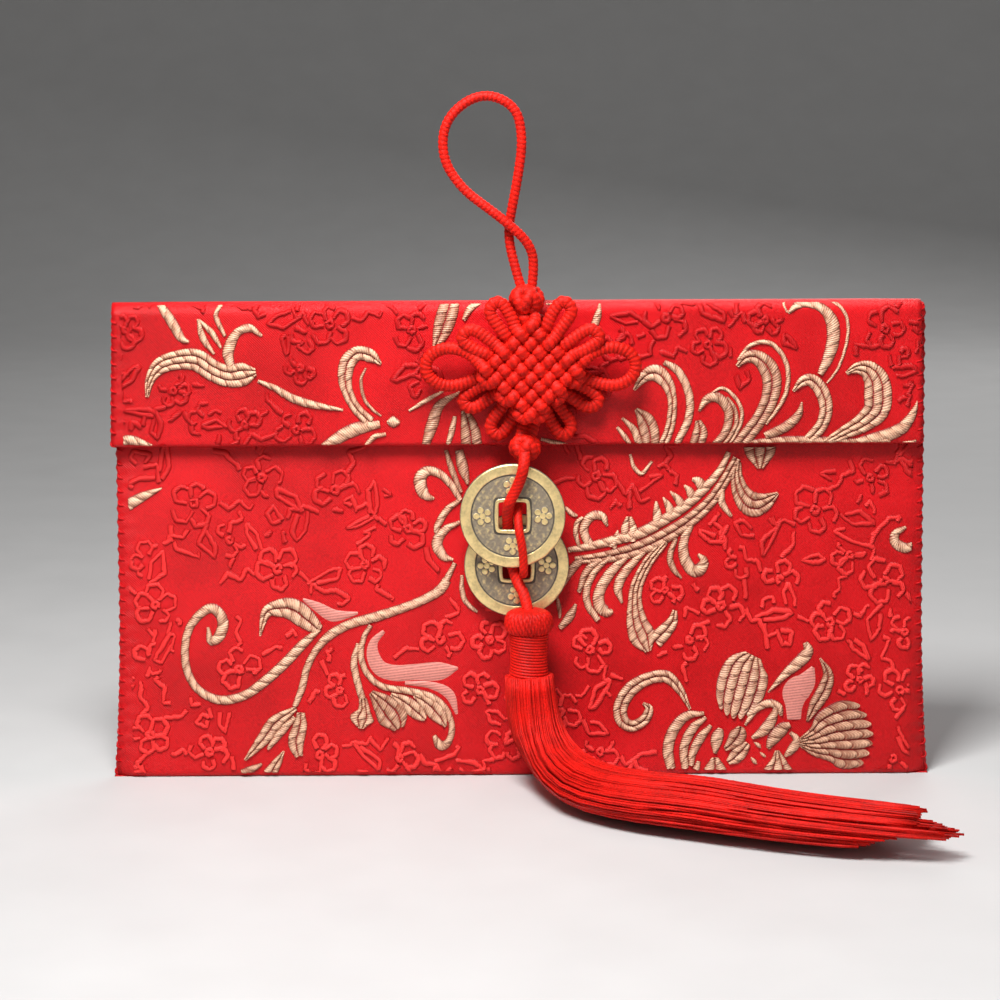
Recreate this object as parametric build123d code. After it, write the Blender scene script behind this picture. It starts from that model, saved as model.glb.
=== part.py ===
from build123d import *
import os
from math import atan2, cos, degrees, pi, radians, sin, sqrt, tan

# Red brocade gift envelope with a woven cord knot, two square-holed coins and a tassel.
# Millimetres, +Z up, front towards -Y, origin on the floor under the middle of the pocket.

# Pocket: a sewn pouch with a flat leaning front and a plump back
POCKET_WIDTH = 188.0
POCKET_HEIGHT = 110.5
BASE_DEPTH = 16.0
MOUTH_DEPTH = 8.0
BACK_Y = 4.0
BACK_SIDE_RUN = 34.0
BACK_BULGE_RADIUS = 30.0
SEAM_BEND_RADIUS = 10.0
SEAM_FLANGE = 4.0
SEAM_THICKNESS = 2.0
BOTTOM_FOLD_RADIUS = 1.2
BOTTOM_FOLD_STEPS = 3
OVERRUN = 2.0

# Cloth, board and lining thicknesses
BROCADE = 0.6
BOARD = 1.0
LINING = 0.3
BOARD_MARGIN = 2.0
LINING_INSET = 14.0
LINING_EDGE = 0.9

# Overcast stitches along the sewn edges
STITCH_PITCH = 3.2
STITCH_WIDTH = 0.9
STITCH_THREAD = 0.4
STITCH_REACH = 2.4

# Folded cloth strip over the mouth
FOLD_THICKNESS = 1.2
FOLD_CLEARANCE = 0.3

# Flap: a board between brocade and lining
FLAP_OVERHANG = 1.0
FLAP_HEIGHT = 32.0
FLAP_CLEARANCE = 0.9
FLAP_HEM = 3.0
FLAP_EDGE_RADIUS = 0.7

# Press stud under the flap
STUD_DROP = 20.5
STUD_BASE_DIAMETER = 8.0
STUD_BASE_THICKNESS = 0.4
STUD_POST_DIAMETER = 3.0
STUD_POST_HEIGHT = 1.0
SOCKET_DIAMETER = 9.0
SOCKET_THICKNESS = 0.8
STUD_CLEARANCE = 0.3

# Woven knot: six lines each way in a front and a back layer
CORD_DIAMETER = 1.7
KNOT_X = 2.5
KNOT_DROP = 13.5
KNOT_GAP = 0.3
KNOT_LINES = 6
KNOT_PITCH = 2.85
KNOT_RISE = 1.96
KNOT_END_RISE = 1.88
KNOT_WEAVE_RADIUS = 1.15
KNOT_LAYER_STEP = 4.5
KNOT_TURN_REACH = 2.1
EAR_LENGTH = 9.6
EAR_HALF_WIDTH = 1.9
EAR_FAN_SHARE = 0.6
EAR_MID_SHARE = 0.5
CORNER_EAR_LENGTH = 14.4
CORNER_EAR_HALF_HEIGHT = 4.8
CORNER_EAR_SHARES = ((0.30, 0.80), (0.68, 1.0), (0.97, 0.45))
CORNER_EAR_RISE_SHARE = 0.1
TACK_DIAMETER = 0.6

# Bead knots above and below the woven knot
UPPER_BEAD_SHIFT = -0.9
UPPER_BEAD_RISE = 15.9
UPPER_BEAD_RADIUS = 3.4
LOWER_BEAD_SHIFT = -1.4
LOWER_BEAD_DROP = 18.2
LOWER_BEAD_RADIUS = 3.1
BEAD_RING_SHARE = 0.72
BEAD_CORE_SHARE = 0.9
BEAD_RING_TILT = 50.0
BEAD_ENTRY_SHARE = 0.45

# Hanging loop
LOOP_CORD_DIAMETER = 2.2
BEAD_CLEARANCE = 0.3

# Coins with a square hole and raised rims
COIN_DIAMETER = 24.4
COIN_THICKNESS = 1.2
COIN_FIELD_THICKNESS = 0.8
COIN_RIM_WIDTH = 2.5
COIN_HOLE = 6.4
COIN_HOLE_RIM = 1.0
UPPER_COIN_SHIFT = -2.9
COIN_BEAD_GAP = 0.4
LOWER_COIN_SHIFT = 0.9
COIN_LAP = 12.1
COIN_CORD_GAP = 0.2
PANEL_CLEARANCE = 0.3

# Tassel: head, bound neck and a skirt of threads that lies on the floor
TASSEL_SHIFT = 2.7
TASSEL_LAP = 3.1
TASSEL_HEAD_DIAMETER = 11.0
TASSEL_HEAD_HEIGHT = 6.2
TASSEL_HEAD_ROUND = 2.0
TASSEL_COIN_GAP = 0.35
NECK_DIAMETER = 8.2
NECK_HEIGHT = 9.4
BINDING_THREAD = 0.55
BINDING_TURNS = 8
BINDING_SEAT = 0.05
GAP_SAMPLES = 48
SKIRT_REACH = 89.2
SKIRT_FORWARD = 47.2
SKIRT_HALF_WIDTH = 8.6
SKIRT_SHARES = (
    (0.000, 0.000, 1.000, 0.63, 0.63),
    (0.005, 0.010, 0.766, 0.67, 0.67),
    (0.020, 0.046, 0.544, 0.72, 0.67),
    (0.054, 0.126, 0.368, 0.79, 0.60),
    (0.103, 0.240, 0.253, 0.86, 0.53),
    (0.182, 0.393, 0.192, 0.93, 0.49),
    (0.294, 0.541, 0.169, 0.98, 0.44),
    (0.451, 0.681, 0.153, 1.00, 0.41),
    (0.652, 0.829, 0.134, 1.00, 0.35),
    (0.832, 0.931, 0.119, 0.98, 0.31),
    (1.000, 1.000, 0.103, 0.93, 0.27),
)

# What follows from the sizes above
FRONT_MOUTH_Y = BACK_Y - MOUTH_DEPTH
FRONT_BASE_Y = BACK_Y - BASE_DEPTH


def front_y(z):
    """Outer front face of the pocket at height z, which leans back from base to mouth."""
    return FRONT_BASE_Y + (FRONT_MOUTH_Y - FRONT_BASE_Y) * z / POCKET_HEIGHT


BACK_FLAT_HALF = POCKET_WIDTH / 2 - BACK_SIDE_RUN
LINING_HALF_WIDTH = POCKET_WIDTH / 2 - LINING_INSET
WALL = BROCADE + BOARD + LINING
FOLD_AXIS_Z = POCKET_HEIGHT + FOLD_CLEARANCE + FOLD_THICKNESS / 2
BACK_CREASE_Y = BACK_Y - WALL / 2
FLAP_WIDTH = POCKET_WIDTH + 2 * FLAP_OVERHANG
FLAP_TOP_Z = FOLD_AXIS_Z - FOLD_THICKNESS / 2 - FOLD_CLEARANCE
FLAP_BOTTOM_Z = FLAP_TOP_Z - FLAP_HEIGHT
FLAP_INNER_Y = front_y(FLAP_BOTTOM_Z) - FLAP_CLEARANCE
FRONT_CREASE_Y = FLAP_INNER_Y - WALL / 2
FLAP_OUTER_Y = FLAP_INNER_Y - WALL
CORD_RADIUS = CORD_DIAMETER / 2
KNOT_Y = FLAP_OUTER_Y - KNOT_GAP - KNOT_LAYER_STEP
KNOT_Z = FLAP_TOP_Z - KNOT_DROP
STUD_Z = FLAP_TOP_Z - STUD_DROP
UPPER_BEAD_X = KNOT_X + UPPER_BEAD_SHIFT
UPPER_BEAD_Z = KNOT_Z + UPPER_BEAD_RISE
LOWER_BEAD_X = KNOT_X + LOWER_BEAD_SHIFT
LOWER_BEAD_Z = KNOT_Z - LOWER_BEAD_DROP
UPPER_COIN_X = LOWER_BEAD_X + UPPER_COIN_SHIFT
UPPER_COIN_Z = LOWER_BEAD_Z - LOWER_BEAD_RADIUS - COIN_BEAD_GAP - COIN_DIAMETER / 2
LOWER_COIN_X = UPPER_COIN_X + LOWER_COIN_SHIFT
LOWER_COIN_Z = UPPER_COIN_Z - COIN_DIAMETER + COIN_LAP
TASSEL_X = LOWER_COIN_X + TASSEL_SHIFT
TASSEL_TOP_Z = LOWER_COIN_Z - COIN_DIAMETER / 2 + TASSEL_LAP
ROUND_SHARE = 0.45
STANDING = (Align.CENTER, Align.CENTER, Align.MIN)

os.makedirs("parts", exist_ok=True)


def fold_stations(radius, floor):
    """Heights and insets of a rounded bottom fold, from the flat base up to the wall."""
    angles = [step * pi / 2 / BOTTOM_FOLD_STEPS for step in range(BOTTOM_FOLD_STEPS + 1)]
    return [(floor + radius * (1 - cos(a)), radius * (1 - sin(a))) for a in angles]


def bulge_radius(run, depth):
    """Bend where the back's drawn-in side begins, no larger than that side has room for."""
    half_turn = atan2(depth, run) / 2
    return min(BACK_BULGE_RADIUS, ROUND_SHARE * sqrt(run**2 + depth**2) / tan(half_turn))


def pouch(wall, top):
    """Solid pouch whose faces lie a wall's thickness inside the outer cloth."""
    half = POCKET_WIDTH / 2 - wall
    shoulder = POCKET_WIDTH / 2 - SEAM_FLANGE
    flat = BACK_FLAT_HALF
    sections = []
    for z, inset in fold_stations(BOTTOM_FOLD_RADIUS - wall, wall) + [(top, 0)]:
        front = front_y(z) + wall + inset
        seam = front_y(z) + SEAM_THICKNESS - wall
        back = BACK_Y - wall - inset
        points = [(-half, front), (half, front), (half, seam), (shoulder, seam)]
        points += [(flat, back), (-flat, back), (-shoulder, seam), (-half, seam)]
        bulge = bulge_radius(shoulder - flat, back - seam)
        radii = [0, 0, 0, SEAM_BEND_RADIUS, bulge, bulge, SEAM_BEND_RADIUS, 0]
        outline = FilletPolyline(*[(x, y, z) for x, y in points], radius=radii, close=True)
        sections.append(make_face(outline))
    return loft(sections, ruled=True)


def lining_pouch(wall, edge, floor, top):
    """Solid pouch for the lining, which stops short of the side seams."""
    half = LINING_HALF_WIDTH - (wall - BROCADE - BOARD)
    flat = BACK_FLAT_HALF
    sections = []
    for z in (floor, top):
        front = front_y(z) + wall
        back = BACK_Y - wall
        points = [(-half, front), (half, front), (half, front + edge)]
        points += [(flat, back), (-flat, back), (-half, front + edge)]
        bulge = bulge_radius(half - flat, back - front - edge)
        radii = [0, 0, 0, bulge, bulge, 0]
        outline = FilletPolyline(*[(x, y, z) for x, y in points], radius=radii, close=True)
        sections.append(make_face(outline))
    return loft(sections, ruled=True)


def prism_x(points, half_width):
    """Solid with a side outline of (y, z) points, as wide as given about x = 0."""
    outline = Polyline(*[(-half_width, y, z) for y, z in points], close=True)
    return extrude(make_face(outline), amount=2 * half_width, dir=(1, 0, 0))


def corner_radii(points, woven):
    """Rounding of each corner: 0.45 of the shorter run over tan of half the turn, or the weave's bend."""
    radii = []
    for before, here, after in zip(points, points[1:], points[2:]):
        run_in = Vector(*here) - Vector(*before)
        run_out = Vector(*after) - Vector(*here)
        half_turn = radians(run_in.get_angle(run_out)) / 2
        largest = ROUND_SHARE * min(run_in.length, run_out.length) / tan(half_turn)
        radii.append(min(largest, KNOT_WEAVE_RADIUS) if here in woven else largest)
    return radii


def rounded_path(points, radii):
    """Wire of straight runs and tangent arcs along a route."""
    stops = [Vector(*point) for point in points]
    edges = []
    start = stops[0]
    for before, here, after, radius in zip(stops, stops[1:], stops[2:], radii):
        along = (here - before).normalized()
        onward = (after - here).normalized()
        half_turn = radians(along.get_angle(onward)) / 2
        reach = radius * tan(half_turn)
        arc_start = here - along * reach
        arc_end = here + onward * reach
        edges.append(Edge.make_line(start, arc_start))
        edges.append(Edge.make_tangent_arc(arc_start, along, arc_end))
        start = arc_end
    edges.append(Edge.make_line(start, stops[-1]))
    return Wire(edges)


def tube(path, diameter):
    """Round cord or thread along a wire."""
    return sweep(Plane(path @ 0, z_dir=path % 0) * Circle(diameter / 2), path=path)


def cord(name, points, diameter, woven=()):
    """Cord along a rounded route, with its tightest bend and its volume compared."""
    radii = corner_radii(points, woven)
    path = rounded_path(points, radii)
    solid = tube(path, diameter)
    expected = pi * diameter**2 / 4 * path.length
    print(f"{name}: length {path.length:.1f}, radii {min(radii):.2f} to {max(radii):.2f}, "
          f"volume share {solid.volume / expected:.4f}")
    return solid


def biarc(start, start_dir, end, end_dir):
    """Two arcs that leave start and reach end along the given unit directions."""
    span = end - start
    total = start_dir + end_dir
    bend = 2 * (1 - start_dir.dot(end_dir))
    along = span.dot(total)
    reach = (sqrt(along**2 + bend * span.dot(span)) - along) / bend
    middle = (start + end + (start_dir - end_dir) * reach) / 2
    joint = (end - end_dir * reach - start - start_dir * reach).normalized()
    return [Edge.make_tangent_arc(start, start_dir, middle), Edge.make_tangent_arc(middle, joint, end)]


def write(name, shape):
    export_step(shape, f"parts/{name}.step")


# Pocket cloth, its two boards and its lining
pocket_cover = pouch(0, POCKET_HEIGHT) - pouch(BROCADE, POCKET_HEIGHT + OVERRUN)
write("pocket_cover", pocket_cover)

lining_floor = BOTTOM_FOLD_RADIUS
lining_wall = BROCADE + BOARD
lining_outer = lining_pouch(lining_wall, LINING_EDGE, lining_floor, POCKET_HEIGHT)
lining_inner = lining_pouch(
    lining_wall + LINING, LINING_EDGE - 2 * LINING, lining_floor + LINING, POCKET_HEIGHT + OVERRUN
)
write("pocket_lining", lining_outer - lining_inner)

board_low = BOTTOM_FOLD_RADIUS + BOARD_MARGIN
board_high = POCKET_HEIGHT - BOARD_MARGIN
front_outline = [(front_y(board_low) + BROCADE, board_low), (front_y(board_high) + BROCADE, board_high)]
front_outline += [(y + BOARD, z) for y, z in reversed(front_outline)]
write("front_board", prism_x(front_outline, LINING_HALF_WIDTH - BOARD_MARGIN))

back_outline = [(BACK_Y - BROCADE, board_low), (BACK_Y - BROCADE, board_high)]
back_outline += [(y - BOARD, z) for y, z in reversed(back_outline)]
bulge_depth = BASE_DEPTH - SEAM_THICKNESS
bulge_run = BACK_SIDE_RUN - SEAM_FLANGE
bulge_reach = bulge_radius(bulge_run, bulge_depth) * tan(atan2(bulge_depth, bulge_run) / 2)
back_board_half = BACK_FLAT_HALF - bulge_reach - BOARD_MARGIN
write("back_board", prism_x(back_outline, back_board_half))


def edge_stitches(edge_x, side, thickness, low, high, mid_y):
    """Thread loops over a sewn edge: each hugs the front, the edge and the back of the cloth."""
    count = int((high - low - STITCH_WIDTH) / STITCH_PITCH)
    reach_x = edge_x - side * (STITCH_REACH - STITCH_THREAD) / 2
    stitches = []
    for step in range(count + 1):
        z = low + STITCH_WIDTH / 2 + step * STITCH_PITCH
        place = Pos(reach_x, mid_y(z), z)
        outer = place * Box(STITCH_REACH + STITCH_THREAD, thickness + 2 * STITCH_THREAD, STITCH_WIDTH)
        inner = place * Pos(-side * STITCH_THREAD, 0, 0) * Box(
            STITCH_REACH + STITCH_THREAD, thickness, STITCH_WIDTH + OVERRUN
        )
        stitches.append(outer - inner)
    return Compound(children=[stitch.solid() for stitch in stitches])


def seam_middle(z):
    return front_y(z) + SEAM_THICKNESS / 2


# The leaning seam is a little thicker along a level stitch, by its lean over the stitch's width
lean_slope = abs(FRONT_MOUTH_Y - FRONT_BASE_Y) / POCKET_HEIGHT
seam_pass = SEAM_THICKNESS + lean_slope * STITCH_WIDTH
for name, side in (("left", -1), ("right", 1)):
    seam_low = BOTTOM_FOLD_RADIUS
    stitches = edge_stitches(side * POCKET_WIDTH / 2, side, seam_pass, seam_low, POCKET_HEIGHT, seam_middle)
    write(f"side_stitches_{name}", stitches)

# Press stud on the front of the pocket, square to the leaning face
front_lean = degrees(atan2(FRONT_MOUTH_Y - FRONT_BASE_Y, POCKET_HEIGHT))
stud_place = Pos(KNOT_X, front_y(STUD_Z), STUD_Z) * Rot(90 - front_lean, 0, 0)
stud_base = Cylinder(STUD_BASE_DIAMETER / 2, STUD_BASE_THICKNESS, align=STANDING)
stud_post = Cylinder(STUD_POST_DIAMETER / 2, STUD_POST_HEIGHT, align=STANDING)
stud_post = Pos(0, 0, STUD_BASE_THICKNESS) * stud_post
write("stud", stud_place * (stud_base + stud_post))

socket_place = Pos(KNOT_X, FLAP_INNER_Y, STUD_Z) * Rot(-90, 0, 0)
socket_ring = Cylinder(SOCKET_DIAMETER / 2, SOCKET_THICKNESS, align=STANDING)
socket_bore = Cylinder(STUD_POST_DIAMETER / 2 + STUD_CLEARANCE, 2 * SOCKET_THICKNESS)
write("stud_socket", socket_place * (socket_ring - Pos(0, 0, SOCKET_THICKNESS) * socket_bore))

# Cloth strip over the mouth, rolled at both creases
strip_points = [(-BACK_FLAT_HALF, BACK_CREASE_Y), (BACK_FLAT_HALF, BACK_CREASE_Y)]
strip_points += [(FLAP_WIDTH / 2, FRONT_CREASE_Y), (-FLAP_WIDTH / 2, FRONT_CREASE_Y)]
strip_low = FOLD_AXIS_Z - FOLD_THICKNESS / 2
strip_face = make_face(Polyline(*[(x, y, strip_low) for x, y in strip_points], close=True))
strip = extrude(strip_face, amount=FOLD_THICKNESS, dir=(0, 0, 1))
for crease_y, crease_width in ((BACK_CREASE_Y, 2 * BACK_FLAT_HALF), (FRONT_CREASE_Y, FLAP_WIDTH)):
    strip += Pos(0, crease_y, FOLD_AXIS_Z) * Rot(0, 90, 0) * Cylinder(FOLD_THICKNESS / 2, crease_width)
write("top_fold", strip)

# Flap cloth turned over its board, with the lining set into the back
flap_centre = Pos(0, FRONT_CREASE_Y, (FLAP_TOP_Z + FLAP_BOTTOM_Z) / 2)
flap_block = flap_centre * Box(FLAP_WIDTH, WALL, FLAP_HEIGHT)
flap_block = fillet(flap_block.edges().filter_by(Axis.X).group_by(Axis.Z)[0], FLAP_EDGE_RADIUS)
flap_block = fillet(flap_block.edges().filter_by(Axis.Z), FLAP_EDGE_RADIUS)
recess_width = FLAP_WIDTH - 2 * FLAP_HEM
recess_height = FLAP_HEIGHT - FLAP_HEM
recess_middle_z = FLAP_BOTTOM_Z + FLAP_HEM + recess_height / 2


def flap_layer(front, back):
    """Flat layer of the flap between two depths, inside the turned hem."""
    return Pos(0, (front + back) / 2, recess_middle_z) * Box(recess_width, back - front, recess_height)


board_front = FLAP_OUTER_Y + BROCADE
lining_front = board_front + BOARD
write("flap_cover", flap_block - flap_layer(board_front, FLAP_INNER_Y))
write("flap_board", flap_layer(board_front, lining_front))
write("flap_lining", flap_layer(lining_front, FLAP_INNER_Y))


def flap_middle(z):
    return FRONT_CREASE_Y


flap_stitch_low = FLAP_BOTTOM_Z + FLAP_EDGE_RADIUS
for name, side in (("left", -1), ("right", 1)):
    stitches = edge_stitches(side * FLAP_WIDTH / 2, side, WALL, flap_stitch_low, FLAP_TOP_Z, flap_middle)
    write(f"flap_stitches_{name}", stitches)

# Woven knot: along runs down to the right, across runs up to the right
DIAGONAL = sqrt(2)
knot_reach = KNOT_PITCH * (KNOT_LINES - 1) / 2


def knot_point(along, across, rise):
    """Point of the knot from its two diagonal coordinates and its height towards the front."""
    return (KNOT_X + (along + across) / DIAGONAL, KNOT_Y - rise, KNOT_Z + (across - along) / DIAGONAL)


def line_place(index):
    return (index - (KNOT_LINES - 1) / 2) * KNOT_PITCH


def weave_line(line, forward, layer, over):
    """Zigzag of one knot line over and under the lines that it crosses, as (run, fixed, rise)."""
    order = range(KNOT_LINES) if forward else reversed(range(KNOT_LINES))
    rows = []
    for crossing in order:
        rise = KNOT_END_RISE if crossing in (0, KNOT_LINES - 1) else KNOT_RISE
        side = over * (-1) ** (line + crossing)
        rows.append((line_place(crossing), line_place(line), layer + side * rise))
    return rows


def tight_turn(side, first, second, layer):
    """Half turn round the edge of the knot from one line to the next."""
    run = side * (knot_reach + KNOT_TURN_REACH)
    return [(run, line_place(first), layer), (run, line_place(second), layer)]


def ear(side, first, second, layer):
    """Long loop that leaves the knot at one line and comes back at the next."""
    root = knot_reach + KNOT_TURN_REACH
    middle = (line_place(first) + line_place(second)) / 2
    toward = 1 if line_place(first) > middle else -1
    halfway = middle * (1 + EAR_FAN_SHARE * EAR_MID_SHARE)
    tip = middle * (1 + EAR_FAN_SHARE)
    near = side * (knot_reach + EAR_LENGTH * EAR_MID_SHARE)
    far = side * (knot_reach + EAR_LENGTH)
    half = toward * EAR_HALF_WIDTH
    return [
        (side * root, line_place(first), layer),
        (near, halfway + half, layer),
        (far, tip + half, layer),
        (far, tip - half, layer),
        (near, halfway - half, layer),
        (side * root, line_place(second), layer),
    ]


def serpentine(lines, start_side, ear_side, layer, over):
    """Six knot lines in turn, with ears on one side and tight turns on the other."""
    route = []
    side = start_side
    for place, line in enumerate(lines):
        route += weave_line(line, side < 0, layer, over)
        side = -side
        if place + 1 < len(lines):
            link = ear if side == ear_side else tight_turn
            route += link(side, line, lines[place + 1], layer)
    return route


def along_points(route):
    return [knot_point(run, fixed, rise) for run, fixed, rise in route]


def across_points(route):
    return [knot_point(fixed, run, rise) for run, fixed, rise in route]


def woven_points(points):
    """The points of a strand that lie where two lines of the knot cross."""
    edge = knot_reach * DIAGONAL + KNOT_PITCH / 4
    return {p for p in points if abs(p[0] - KNOT_X) + abs(p[2] - KNOT_Z) < edge}


def corner_ear(side, front_high):
    """Large loop at the left or right corner, from the front layer round to the back layer."""
    corner = knot_reach * DIAGONAL
    upper = []
    for out, up in CORNER_EAR_SHARES:
        x = KNOT_X + side * (corner + CORNER_EAR_LENGTH * out)
        upper.append((x, CORNER_EAR_HALF_HEIGHT * up, 1 - out))
    lower = [(x, -z, -share) for x, z, share in reversed(upper)]
    lift = CORNER_EAR_HALF_HEIGHT * CORNER_EAR_RISE_SHARE
    layer = KNOT_LAYER_STEP / 2 * front_high
    return [(x, KNOT_Y - layer * share, KNOT_Z + z + lift) for x, z, share in upper + lower]


front_layer = KNOT_LAYER_STEP / 2
back_layer = -KNOT_LAYER_STEP / 2
root_reach = knot_reach + KNOT_TURN_REACH
falling = list(reversed(range(KNOT_LINES)))
rising = list(range(KNOT_LINES))
bead_entry_upper = UPPER_BEAD_Z - UPPER_BEAD_RADIUS * BEAD_ENTRY_SHARE
bead_entry_lower = LOWER_BEAD_Z + LOWER_BEAD_RADIUS * BEAD_ENTRY_SHARE

left_route = [(UPPER_BEAD_X - CORD_RADIUS, KNOT_Y, bead_entry_upper)]
left_route += [knot_point(-root_reach, knot_reach, front_layer)]
left_route += along_points(serpentine(falling, -1, -1, front_layer, 1))
left_route += [knot_point(-root_reach, -knot_reach, front_layer)]
left_route += corner_ear(-1, 1)
left_route += [knot_point(-knot_reach, -root_reach, back_layer)]
left_route += across_points(serpentine(rising, -1, -1, back_layer, 1))
left_route += [knot_point(knot_reach, -root_reach, back_layer)]
left_route += [(LOWER_BEAD_X - CORD_RADIUS, KNOT_Y, bead_entry_lower)]

right_route = [(UPPER_BEAD_X + CORD_RADIUS, KNOT_Y, bead_entry_upper)]
right_route += [knot_point(-knot_reach, root_reach, front_layer)]
right_route += across_points(serpentine(rising, 1, 1, front_layer, -1))
right_route += [knot_point(knot_reach, root_reach, front_layer)]
right_route += corner_ear(1, 1)
right_route += [knot_point(root_reach, knot_reach, back_layer)]
right_route += along_points(serpentine(falling, 1, 1, back_layer, -1))
right_route += [knot_point(root_reach, -knot_reach, back_layer)]
right_route += [(LOWER_BEAD_X + CORD_RADIUS, KNOT_Y, bead_entry_lower)]

write("knot_strand_left", cord("knot_strand_left", left_route, CORD_DIAMETER, woven_points(left_route)))
write("knot_strand_right", cord("knot_strand_right", right_route, CORD_DIAMETER, woven_points(right_route)))

# Tack threads that hold the knot on the flap, in gaps of its weave
tack_length = FLAP_OUTER_Y - KNOT_Y
tacks = []
for along in (-1, 1):
    for across in (-1, 1):
        x, _, z = knot_point(along * KNOT_PITCH, across * KNOT_PITCH, 0)
        tack_place = Pos(x, FLAP_OUTER_Y, z) * Rot(90, 0, 0)
        post = Cylinder(TACK_DIAMETER / 2, tack_length, align=STANDING)
        tacks.append((tack_place * post).solid())
write("knot_tacks", Compound(children=tacks))


def bead_knot(x, z, radius):
    """Ball of crossed cord: a core wrapped by three tilted rings."""
    ring_radius = radius * BEAD_RING_SHARE
    ball = Sphere(radius * BEAD_CORE_SHARE)
    for tilt in (-BEAD_RING_TILT, 0, BEAD_RING_TILT):
        ball += Rot(0, tilt, 0) * Torus(ring_radius, radius - ring_radius)
    return Pos(x, KNOT_Y, z) * ball


write("upper_bead_knot", bead_knot(UPPER_BEAD_X, UPPER_BEAD_Z, UPPER_BEAD_RADIUS))
write("lower_bead_knot", bead_knot(LOWER_BEAD_X, LOWER_BEAD_Z, LOWER_BEAD_RADIUS))

# Hanging loop: route points from one side of the bead knot, round the loop and back
LOOP_ROUTE = [
    (3.0, -13.4, 116.6), (3.5, -13.4, 121.0), (2.4, -14.2, 126.0), (-1.2, -15.0, 130.0),
    (-6.5, -14.6, 134.4), (-13.0, -13.8, 139.4), (-17.6, -13.4, 147.0), (-16.6, -13.4, 156.4),
    (-8.6, -13.4, 162.4), (-0.6, -13.4, 159.2), (0.9, -13.4, 151.0), (-0.3, -13.2, 142.0),
    (-1.6, -12.4, 135.0), (-2.6, -11.8, 129.0), (-1.6, -12.4, 122.4), (0.2, -13.4, 116.6),
]
write("hanging_loop", cord("hanging_loop", LOOP_ROUTE, LOOP_CORD_DIAMETER))

# Coin cords and coins, layered forwards from the pocket's front
lower_coin_bottom = LOWER_COIN_Z - COIN_DIAMETER / 2
cord_step = CORD_RADIUS + COIN_CORD_GAP + COIN_THICKNESS / 2
BEHIND_LOWER_Y = front_y(lower_coin_bottom) - PANEL_CLEARANCE - CORD_RADIUS
LOWER_COIN_Y = BEHIND_LOWER_Y - cord_step
BETWEEN_Y = LOWER_COIN_Y - cord_step
UPPER_COIN_Y = BETWEEN_Y - cord_step
BEFORE_UPPER_Y = UPPER_COIN_Y - cord_step
TASSEL_Y = LOWER_COIN_Y - COIN_THICKNESS / 2 - TASSEL_COIN_GAP - TASSEL_HEAD_DIAMETER / 2


def coin(x, y, z):
    """Cast coin: a thin field between a broad outer rim and a narrow rim round its square hole."""
    field = Cylinder(COIN_DIAMETER / 2, COIN_FIELD_THICKNESS)
    rim = Cylinder(COIN_DIAMETER / 2, COIN_THICKNESS)
    rim -= Cylinder(COIN_DIAMETER / 2 - COIN_RIM_WIDTH, COIN_THICKNESS + OVERRUN)
    collar_width = COIN_HOLE + 2 * COIN_HOLE_RIM
    collar = Box(collar_width, collar_width, COIN_THICKNESS)
    blank = field + rim + collar - Box(COIN_HOLE, COIN_HOLE, COIN_THICKNESS + OVERRUN)
    return Pos(x, y, z) * Rot(90, 0, 0) * blank


write("upper_coin", coin(UPPER_COIN_X, UPPER_COIN_Y, UPPER_COIN_Z))
write("lower_coin", coin(LOWER_COIN_X, LOWER_COIN_Y, LOWER_COIN_Z))

FRONT_STRAND_ROUTE = [
    (1.1, -17.3, 77.3), (0.9, -18.0, 75.0), (-0.2, -17.4, 71.2), (-1.9, -17.2, 67.8),
    (-2.9, -17.2, 65.7), (-3.0, -13.6, 60.5), (-2.5, -13.65, 57.0), (-2.2, -13.65, 53.2),
    (-1.6, -13.65, 49.4), (-0.4, -14.6, 46.6), (0.9, -16.6, 44.9), (1.7, -18.3, 43.3),
]
BACK_STRAND_ROUTE = [
    (1.1, -13.5, 75.1), (0.9, -13.5, 72.4), (0.0, -13.65, 69.0), (-0.6, -13.4, 65.8),
    (-0.5, -17.1, 60.4), (0.3, -17.2, 56.8), (0.7, -17.1, 52.8), (0.7, -17.1, 49.6),
    (0.7, -13.6, 49.6), (0.8, -10.3, 49.2), (1.0, -10.35, 45.4), (1.3, -10.4, 41.6),
    (1.6, -10.5, 37.4), (1.8, -12.3, 36.4),
]
write("coin_strand_front", cord("coin_strand_front", FRONT_STRAND_ROUTE, CORD_DIAMETER))
write("coin_strand_back", cord("coin_strand_back", BACK_STRAND_ROUTE, CORD_DIAMETER))

# Tassel head and neck
head_low = TASSEL_TOP_Z - TASSEL_HEAD_HEIGHT
neck_low = head_low - NECK_HEIGHT
head = Cylinder(TASSEL_HEAD_DIAMETER / 2, TASSEL_HEAD_HEIGHT, align=STANDING)
head = Pos(TASSEL_X, TASSEL_Y, head_low) * head
head = fillet(head.edges().group_by(Axis.Z)[-1], TASSEL_HEAD_ROUND)
write("tassel_head", head)
neck = Cylinder(NECK_DIAMETER / 2, NECK_HEIGHT, align=STANDING)
write("tassel_neck", Pos(TASSEL_X, TASSEL_Y, neck_low) * neck)

# Binding thread wound round the neck, on biarcs of a quarter turn
winding_radius = NECK_DIAMETER / 2 + BINDING_SEAT + BINDING_THREAD / 2
winding_height = NECK_HEIGHT - 2 * BINDING_THREAD
winding_pitch = winding_height / BINDING_TURNS
winding_slope = winding_pitch / (2 * pi)


def winding_point(turn):
    angle = 2 * pi * turn
    place = Vector(winding_radius * cos(angle), winding_radius * sin(angle), winding_pitch * turn)
    return place + Vector(TASSEL_X, TASSEL_Y, neck_low + BINDING_THREAD)


def winding_direction(turn):
    angle = 2 * pi * turn
    return Vector(-winding_radius * sin(angle), winding_radius * cos(angle), winding_slope).normalized()


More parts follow.
